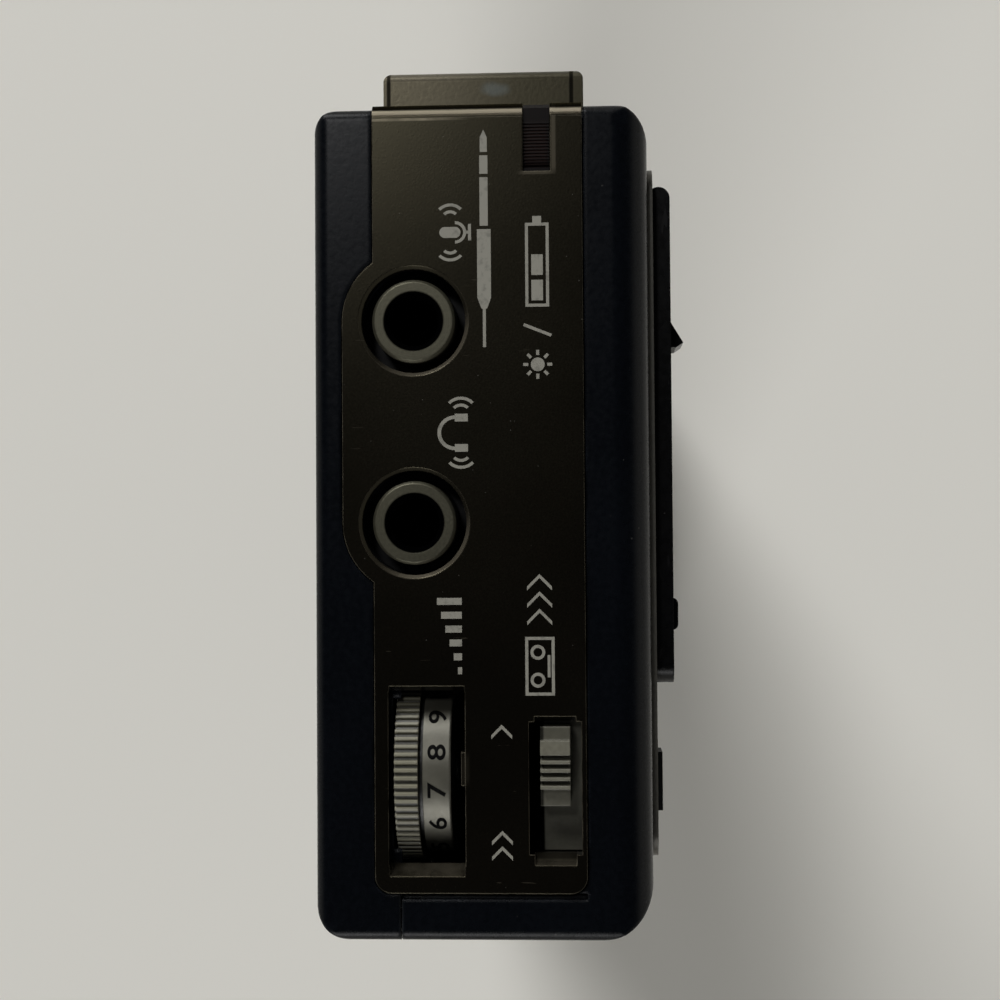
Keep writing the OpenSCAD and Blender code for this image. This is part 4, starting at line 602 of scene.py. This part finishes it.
def finish(name):
    """The material of that name, made on first use."""
    title = "recorder_" + name
    if title in bpy.data.materials:
        return bpy.data.materials[title]
    scene = bpy.context.scene
    made = bpy.data.materials.new(title)
    made.use_nodes = True
    tree = made.node_tree
    shader = next(node for node in tree.nodes if node.type == "BSDF_PRINCIPLED")
    edge = scene.recorder_sizes.shell_edge if name == "shell" else scene.recorder_sizes.edge
    for key, value in FINISHES[name](Ground(tree, edge), scene.recorder_colours).items():
        if isinstance(value, Wire):
            tree.links.new(value.socket, shader.inputs[key])
        else:
            shader.inputs[key].default_value = value
    return made


def wear(obj, name):
    """Give an object that finish in every material slot."""
    if not obj.data.materials:
        obj.data.materials.append(None)
    for index in range(len(obj.data.materials)):
        obj.data.materials[index] = finish(name)


def bar(a, b, width):
    """A straight stroke between two points."""
    a, b = Vector(a), Vector(b)
    side = Vector((a.y - b.y, b.x - a.x)).normalized() * width / 2
    return [[a + side, a - side, b - side, b + side]]


def arc(centre, radius, width, start=0, end=360, steps=20):
    """A curved stroke of short quads, with its angles in degrees."""
    made = []
    for i in range(steps):
        a, b = (math.radians(start + (end - start) * k / steps) for k in (i, i + 1))
        quad = [(a, radius), (a, radius + width), (b, radius + width), (b, radius)]
        made.append([Vector(centre) + Vector((math.cos(t), math.sin(t))) * r for t, r in quad])
    return made


def oval(centre, radius, length=0.0, steps=12):
    """A filled circle, drawn out by a length across the reading direction."""
    u, v = centre
    rise = [(math.pi * i / steps, length / 2) for i in range(steps + 1)]
    fall = [(math.pi + math.pi * i / steps, -length / 2) for i in range(steps + 1)]
    turns = rise + fall if length else rise[:-1] + fall[:-1]
    return [[Vector((u + radius * math.cos(t), v + shift + radius * math.sin(t))) for t, shift in turns]]


def block(left, right, foot, head):
    """A filled rectangle."""
    return [[Vector(p) for p in ((left, foot), (right, foot), (right, head), (left, head))]]


def box_line(left, right, foot, head, width):
    """The outline of a rectangle."""
    half = width / 2
    return [
        *block(left - half, right + half, foot - half, foot + half),
        *block(left - half, right + half, head - half, head + half),
        *block(left - half, left + half, foot + half, head - half),
        *block(right - half, right + half, foot + half, head - half),
    ]


def chevron(u, v, h, w):
    """One arrow-like angle along the reading direction, as tall as twice h."""
    tip, tail = u + h / 2, u - h / 2
    upper = [(tail, v + h), (tail + w, v + h), (tip + w, v), (tip, v)]
    lower = [(tail, v - h), (tip, v), (tip + w, v), (tail + w, v - h)]
    return [[Vector(p) for p in half] for half in (upper, lower)]


def waves(u, v, side, radii, w, spread=45):
    """Arcs of sound spreading to one side of a point."""
    turn = 0 if side > 0 else 180
    return [quad for r in radii for quad in arc((u, v), r, w, turn - spread, turn + spread, 10)]


def microphone_sign(u, v, w):
    """A capsule in a holder on a stand, with sound reaching it from both sides."""
    base = v - 0.95
    made = oval((u, v + 0.37), 0.4, 0.75) + arc((u, v), 0.6, w, 180, 360, 14)
    made += block(u - w / 2, u + w / 2, base, v - 0.6 - w) + block(u - 0.6, u + 0.6, base - w, base)
    for side in (1, -1):
        made += waves(u + side * 0.9, v + 0.35, side, (0.5, 1), w)
    return made


def plug_sign(u, v, w):
    """A slim plug on its lead, pointing along the reading direction."""
    lead = block(u - 8, u - 5.2, v - w / 2, v + w / 2)
    sleeve = [(-5.2, 0.2), (-4.4, 0.5), (0.6, 0.5), (0.6, -0.5), (-4.4, -0.5), (-5.2, -0.2)]
    tip = [(6.25, -0.26), (7.3, -0.26), (7.9, 0), (7.3, 0.26), (6.25, 0.26)]
    made = lead + [[Vector((u + a, v + b)) for a, b in outline] for outline in (sleeve, tip)]
    for start, end in ((0.85, 4.4), (4.65, 6)):
        made += block(u + start, u + end, v - 0.3, v + 0.3)
    return made


def earphone_sign(u, v, w):
    """A headband with two ear cups and the sound beside them."""
    made = arc((u, v - 0.05), 1.0, w * 1.2, 0, 180, 22)
    for side in (-1, 1):
        x = u + side * 1.1
        made += block(x - 0.28, x + 0.28, v - 1, v - 0.05)
        made += waves(x + side * 0.2, v - 0.5, side, (0.6, 1.1), w)
    return made


def volume_sign(u, v):
    """Bars that grow with the volume."""
    made = []
    for i in range(6):
        made += block(u - 2.8 + i, u - 2.3 + i, v - 0.9, v - 0.6 + i * 0.3)
    return made


def lamp_and_cell_sign(u, v, w):
    """A shining lamp, a stroke and a dry cell with two of three bars left."""
    lamp = Vector((u - 5.2, v))
    made = oval(lamp, 0.5)
    for i in range(8):
        way = Vector((math.cos(math.pi * i / 4), math.sin(math.pi * i / 4)))
        made += bar(lamp + way * 0.68, lamp + way * 1.05, w)
    made += bar((u - 3.1, v - 1), (u - 2.3, v + 1), w)
    made += box_line(u - 0.9, u + 5, v - 0.75, v + 0.75, w)
    made += block(u + 5 + w / 2, u + 5.6, v - 0.32, v + 0.32)
    for x in (u - 0.55, u + 1.3):
        made += block(x, x + 1.5, v - 0.42, v + 0.42)
    return made


def speed_sign(u, v, w):
    """A cassette and three running chevrons."""
    made = box_line(u - 4.4, u - 0.4, v - 0.95, v + 0.95, w)
    for x in (u - 3.4, u - 1.4):
        made += arc((x, v + 0.15), 0.32, w)
    made += block(u - 3.2, u - 1.6, v - 0.75, v - 0.55)
    for i in range(3):
        made += chevron(u + 1 + i * 1.25, v, 0.9, w * 1.3)
    return made


def flat_sheet(polygons):
    """A bmesh of flat faces in the plane of reading."""
    mesh = bmesh.new()
    for points in polygons:
        mesh.faces.new([mesh.verts.new((p[0], p[1], 0)) for p in points])
    bmesh.ops.remove_doubles(mesh, verts=mesh.verts, dist=1e-4)
    return mesh


def figure_sheet(text, height, stretch=1.0):
    """A bmesh of one flat number, centred, in millimetres, and widened by a factor."""
    curve = bpy.data.curves.new("figure", "FONT")
    curve.body = text
    curve.offset = 0.012
    carrier = bpy.data.objects.new("figure", curve)
    flat = bpy.data.meshes.new_from_object(carrier)
    mesh = bmesh.new()
    mesh.from_mesh(flat)
    bpy.data.objects.remove(carrier)
    bpy.data.curves.remove(curve)
    bpy.data.meshes.remove(flat)
    corners = [[end(v.co[axis] for v in mesh.verts) for end in (min, max)] for axis in (0, 1)]
    scale = height / (corners[1][1] - corners[1][0])
    for vert in mesh.verts:
        for axis, factor in enumerate((scale * stretch, scale)):
            vert.co[axis] = (vert.co[axis] - sum(corners[axis]) / 2) * factor
    return mesh


def slice_sheet(mesh, axis, spacing):
    """Cut a flat sheet into narrow strips so that it can follow a round surface."""
    places = [v.co[axis] for v in mesh.verts]
    normal = Vector((axis == 0, axis == 1, 0))
    for i in range(math.ceil(min(places) / spacing), math.floor(max(places) / spacing) + 1):
        geometry = mesh.verts[:] + mesh.edges[:] + mesh.faces[:]
        bmesh.ops.bisect_plane(mesh, geom=geometry, dist=1e-5, plane_co=normal * i * spacing, plane_no=normal)


def lay(name, sheets, place, body, look):
    """Thicken flat sheets, carry them onto a surface with place(index, u, v, rise) and ride a body."""
    sizes = bpy.context.scene.recorder_sizes
    whole = bmesh.new()
    for index, sheet in enumerate(sheets):
        bmesh.ops.recalc_face_normals(sheet, faces=sheet.faces)
        for face in sheet.faces:
            if face.normal.z < 0:
                face.normal_flip()
        under = {v: whole.verts.new(place(index, v.co.x, v.co.y, -sizes.sunk / MM)) for v in sheet.verts}
        over = {v: whole.verts.new(place(index, v.co.x, v.co.y, sizes.ink / MM)) for v in sheet.verts}
        for face in sheet.faces:
            whole.faces.new([over[v] for v in face.verts])
            whole.faces.new([under[v] for v in reversed(face.verts)])
            for loop in face.loops:
                if loop.edge.is_boundary:
                    a, b = loop.vert, loop.link_loop_next.vert
                    whole.faces.new([under[a], under[b], over[b], over[a]])
        sheet.free()
    bmesh.ops.scale(whole, vec=(MM, MM, MM), verts=whole.verts)
    mesh = bpy.data.meshes.new(name)
    whole.to_mesh(mesh)
    whole.free()
    made = bpy.data.objects.new(name, mesh)
    bpy.context.scene.collection.objects.link(made)
    wear(made, look)
    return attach(made, body)


class RECORDER_OT_finishes(bpy.types.Operator):
    """Give every CAD node the finish of its record slot, and the volume pot steel painted dark as shade"""

    bl_idname = "recorder.finishes"
    bl_label = "Finishes"

    def execute(self, context):
        for part in frame["record"]["subparts"]:
            slot = part["material_slot"]
            # The volume pot is given steel painted dark as shade.
            wear(frame["nodes"][part["node"]], "dull" if part["node"] == "volume_pot" else slot)
        return {"FINISHED"}


class RECORDER_OT_dial(bpy.types.Operator):
    """Print the numbers 0 to 10 round the band of the volume wheel"""

    bl_idname = "recorder.dial"
    bl_label = "Dial Figures"

    def execute(self, context):
        sizes = context.scene.recorder_sizes
        axis = Vector(JOINTS["volume_turn"]["pos_m"]) / MM
        radius = sizes.band_radius / MM
        across = low("volume_wheel").y + sizes.band_width / MM / 2
        sheets = []
        for value in range(11):
            sheet = figure_sheet(str(value), sizes.dial_figure / MM, sizes.dial_stretch)
            slice_sheet(sheet, 0, STRIP)
            sheets.append(sheet)

        def place(value, u, v, rise):
            turn = (value - sizes.dial_value) * sizes.dial_pitch + u / radius
            reach = radius + rise
            return (axis.x + reach * math.sin(turn), across + v, axis.z + reach * math.cos(turn))

        lay("dial_figures", sheets, place, "volume", "figure")
        return {"FINISHED"}


class RECORDER_OT_counter(bpy.types.Operator):
    """Print the numbers 0 to 9 round each wheel of the tape counter"""

    bl_idname = "recorder.counter"
    bl_label = "Counter Figures"

    def execute(self, context):
        sizes = context.scene.recorder_sizes
        for body in ("units", "tens", "hundreds"):
            node = "counter_" + body
            centre = middle(node)
            radius = (high(node).z - low(node).z) / 2
            sheets = []
            for value in range(10):
                sheet = figure_sheet(str(value), sizes.counter_figure / MM)
                slice_sheet(sheet, 1, STRIP)
                sheets.append(sheet)

            def place(value, u, v, rise, centre=centre, radius=radius):
                turn = math.tau * value / 10 + v / radius
                reach = radius + rise
                return (centre.x + u, centre.y - reach * math.cos(turn), centre.z + reach * math.sin(turn))

            lay(body + "_figures", sheets, place, body, "white")
        return {"FINISHED"}


class RECORDER_OT_signs(bpy.types.Operator):
    """Print plain signs on the trim panel beside each control"""

    bl_idname = "recorder.signs"
    bl_label = "Printed Signs"

    def execute(self, context):
        stroke = context.scene.recorder_sizes.stroke / MM
        panel, slider = high("trim_panel"), middle("slider_knob")
        mic, ear = middle("mic_jack_bushing"), middle("ear_jack_bushing")
        wheel, knob, lens = middle("volume_wheel"), middle("speed_knob"), middle("led_lens")
        speeds = knob.y + 3.85

        top = microphone_sign(mic.x + 6.4, mic.y - 3.1, stroke)
        top += plug_sign(mic.x + 6, mic.y - 5.2, stroke)
        top += earphone_sign(ear.x + 6.5, ear.y - 2.95, stroke)
        top += volume_sign(wheel.x + 10.1, wheel.y - 2)
        top += lamp_and_cell_sign(mic.x + 1.9, lens.y, stroke)
        top += speed_sign(ear.x - 8, lens.y, stroke)
        for x in (wheel.x + 3, wheel.x - 4.6, wheel.x - 5.7):
            top += chevron(x, speeds, 0.75, stroke * 1.3)

        foot = slider.z - 27
        side = chevron(slider.y, foot, 0.9, stroke * 1.4)
        side += box_line(slider.y - 0.9, slider.y + 0.9, foot + 4, foot + 5.8, stroke)

        def on_top(index, u, v, rise):
            return (u, v, panel.z + rise)

        def on_side(index, u, v, rise):
            return (panel.x + rise, u, v)

        lay("top_signs", [flat_sheet(top)], on_top, "case", "ink")
        lay("side_signs", [flat_sheet(side)], on_side, "case", "ink")
        return {"FINISHED"}


class RECORDER_OT_stage(bpy.types.Operator):
    """Set the pale floor, the soft lamps, the backdrop and the camera of the photo"""

    bl_idname = "recorder.stage"
    bl_label = "Stage"

    def execute(self, context):
        scene = context.scene
        sizes, look = scene.recorder_sizes, scene.recorder_colours
        mesh = bpy.data.meshes.new("floor")
        reach = sizes.floor_reach
        corners = [(-reach, -reach, 0), (reach, -reach, 0), (reach, reach, 0), (-reach, reach, 0)]
        mesh.from_pydata(corners, [], [(0, 1, 2, 3)])
        floor = bpy.data.objects.new("floor", mesh)
        scene.collection.objects.link(floor)
        pale = bpy.data.materials.new("floor")
        pale.use_nodes = True
        shader = next(n for n in pale.node_tree.nodes if n.type == "BSDF_PRINCIPLED")
        shader.inputs["Base Color"].default_value = paint(look.floor)
        shader.inputs["Roughness"].default_value = 0.8
        mesh.materials.append(pale)

        top = high("trim_panel").z * MM
        for name, kind, place, energy in (
            ("key_lamp", "SUN", KEY_PLACE, sizes.key_strength),
            ("side_lamp", "SUN", SIDE_PLACE, sizes.side_strength),
            ("sheen_lamp", "AREA", SHEEN_PLACE, sizes.sheen_power),
        ):
            light = bpy.data.lights.new(name, kind)
            light.energy = energy
            if kind == "SUN":
                light.angle = sizes.lamp_spread
            else:
                light.shape = "DISK"
                light.size = sizes.sheen_width
            lamp = bpy.data.objects.new(name, light)
            lamp.location = place
            lamp.rotation_euler = (Vector((0, 0, top)) - lamp.location).to_track_quat("-Z", "Y").to_euler()
            scene.collection.objects.link(lamp)

        scene.world = scene.world or bpy.data.worlds.new("room")
        scene.world.use_nodes = True
        tree = scene.world.node_tree
        shader = next(n for n in tree.nodes if n.type == "BACKGROUND")
        room = Wire(tree)
        way = room.add("ShaderNodeTexCoord", out="Generated")
        rise = room.add("ShaderNodeSeparateXYZ", None, {0: way}, 2)
        shade = rise.fade(math.sin(sizes.haze_top), math.sin(sizes.dark_top))
        tree.links.new(shade.blend(paint(look.haze), paint(look.dark)).socket, shader.inputs["Color"])

        target = Vector((sizes.target_right, sizes.target_back, top))
        away = Vector((sizes.camera_right, sizes.camera_back, sizes.camera_rise))
        back = away.normalized()
        up = Vector((math.cos(sizes.camera_roll), -math.sin(sizes.camera_roll), 0))
        right = up.cross(back).normalized()
        view = bpy.data.cameras.new("camera")
        view.sensor_width = 36
        view.lens = view.sensor_width * away.length / sizes.view_width
        view.clip_start = 0.01
        camera = bpy.data.objects.new("camera", view)
        turned = Matrix((right, back.cross(right), back)).transposed().to_4x4()
        camera.matrix_world = Matrix.Translation(target + away) @ turned
        scene.collection.objects.link(camera)
        scene.camera = camera
        scene.view_settings.view_transform = "Standard"
        return {"FINISHED"}


class RECORDER_PT_panel(bpy.types.Panel):
    """Sizes, colours and the steps that dress the recorder"""

    bl_idname = "RECORDER_PT_panel"
    bl_label = "Recorder"
    bl_space_type = "VIEW_3D"
    bl_region_type = "UI"
    bl_category = "Recorder"

    def draw(self, context):
        for group in (context.scene.recorder_sizes, context.scene.recorder_colours):
            column = self.layout.column(align=True)
            for key in group.__annotations__:
                column.prop(group, key)
        for step in STEPS:
            self.layout.operator(step.bl_idname)


STEPS = (
    RECORDER_OT_finishes,
    RECORDER_OT_dial,
    RECORDER_OT_counter,
    RECORDER_OT_signs,
    RECORDER_OT_stage,
)
CLASSES = (RecorderSizes, RecorderColours, *STEPS, RECORDER_PT_panel)


def register():
    """Register the classes and the properties they use."""
    for cls in CLASSES:
        bpy.utils.register_class(cls)
    bpy.types.Scene.recorder_sizes = PointerProperty(type=RecorderSizes)
    bpy.types.Scene.recorder_colours = PointerProperty(type=RecorderColours)


def unregister():
    """Remove them again."""
    del bpy.types.Scene.recorder_colours
    del bpy.types.Scene.recorder_sizes
    for cls in reversed(CLASSES):
        bpy.utils.unregister_class(cls)


def main():
    """Dress the frame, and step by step."""
    register()
    bpy.ops.recorder.finishes()
    bpy.ops.recorder.dial()
    bpy.ops.recorder.counter()
    bpy.ops.recorder.signs()
    bpy.ops.recorder.stage()


if __name__ == "__main__":
    main()
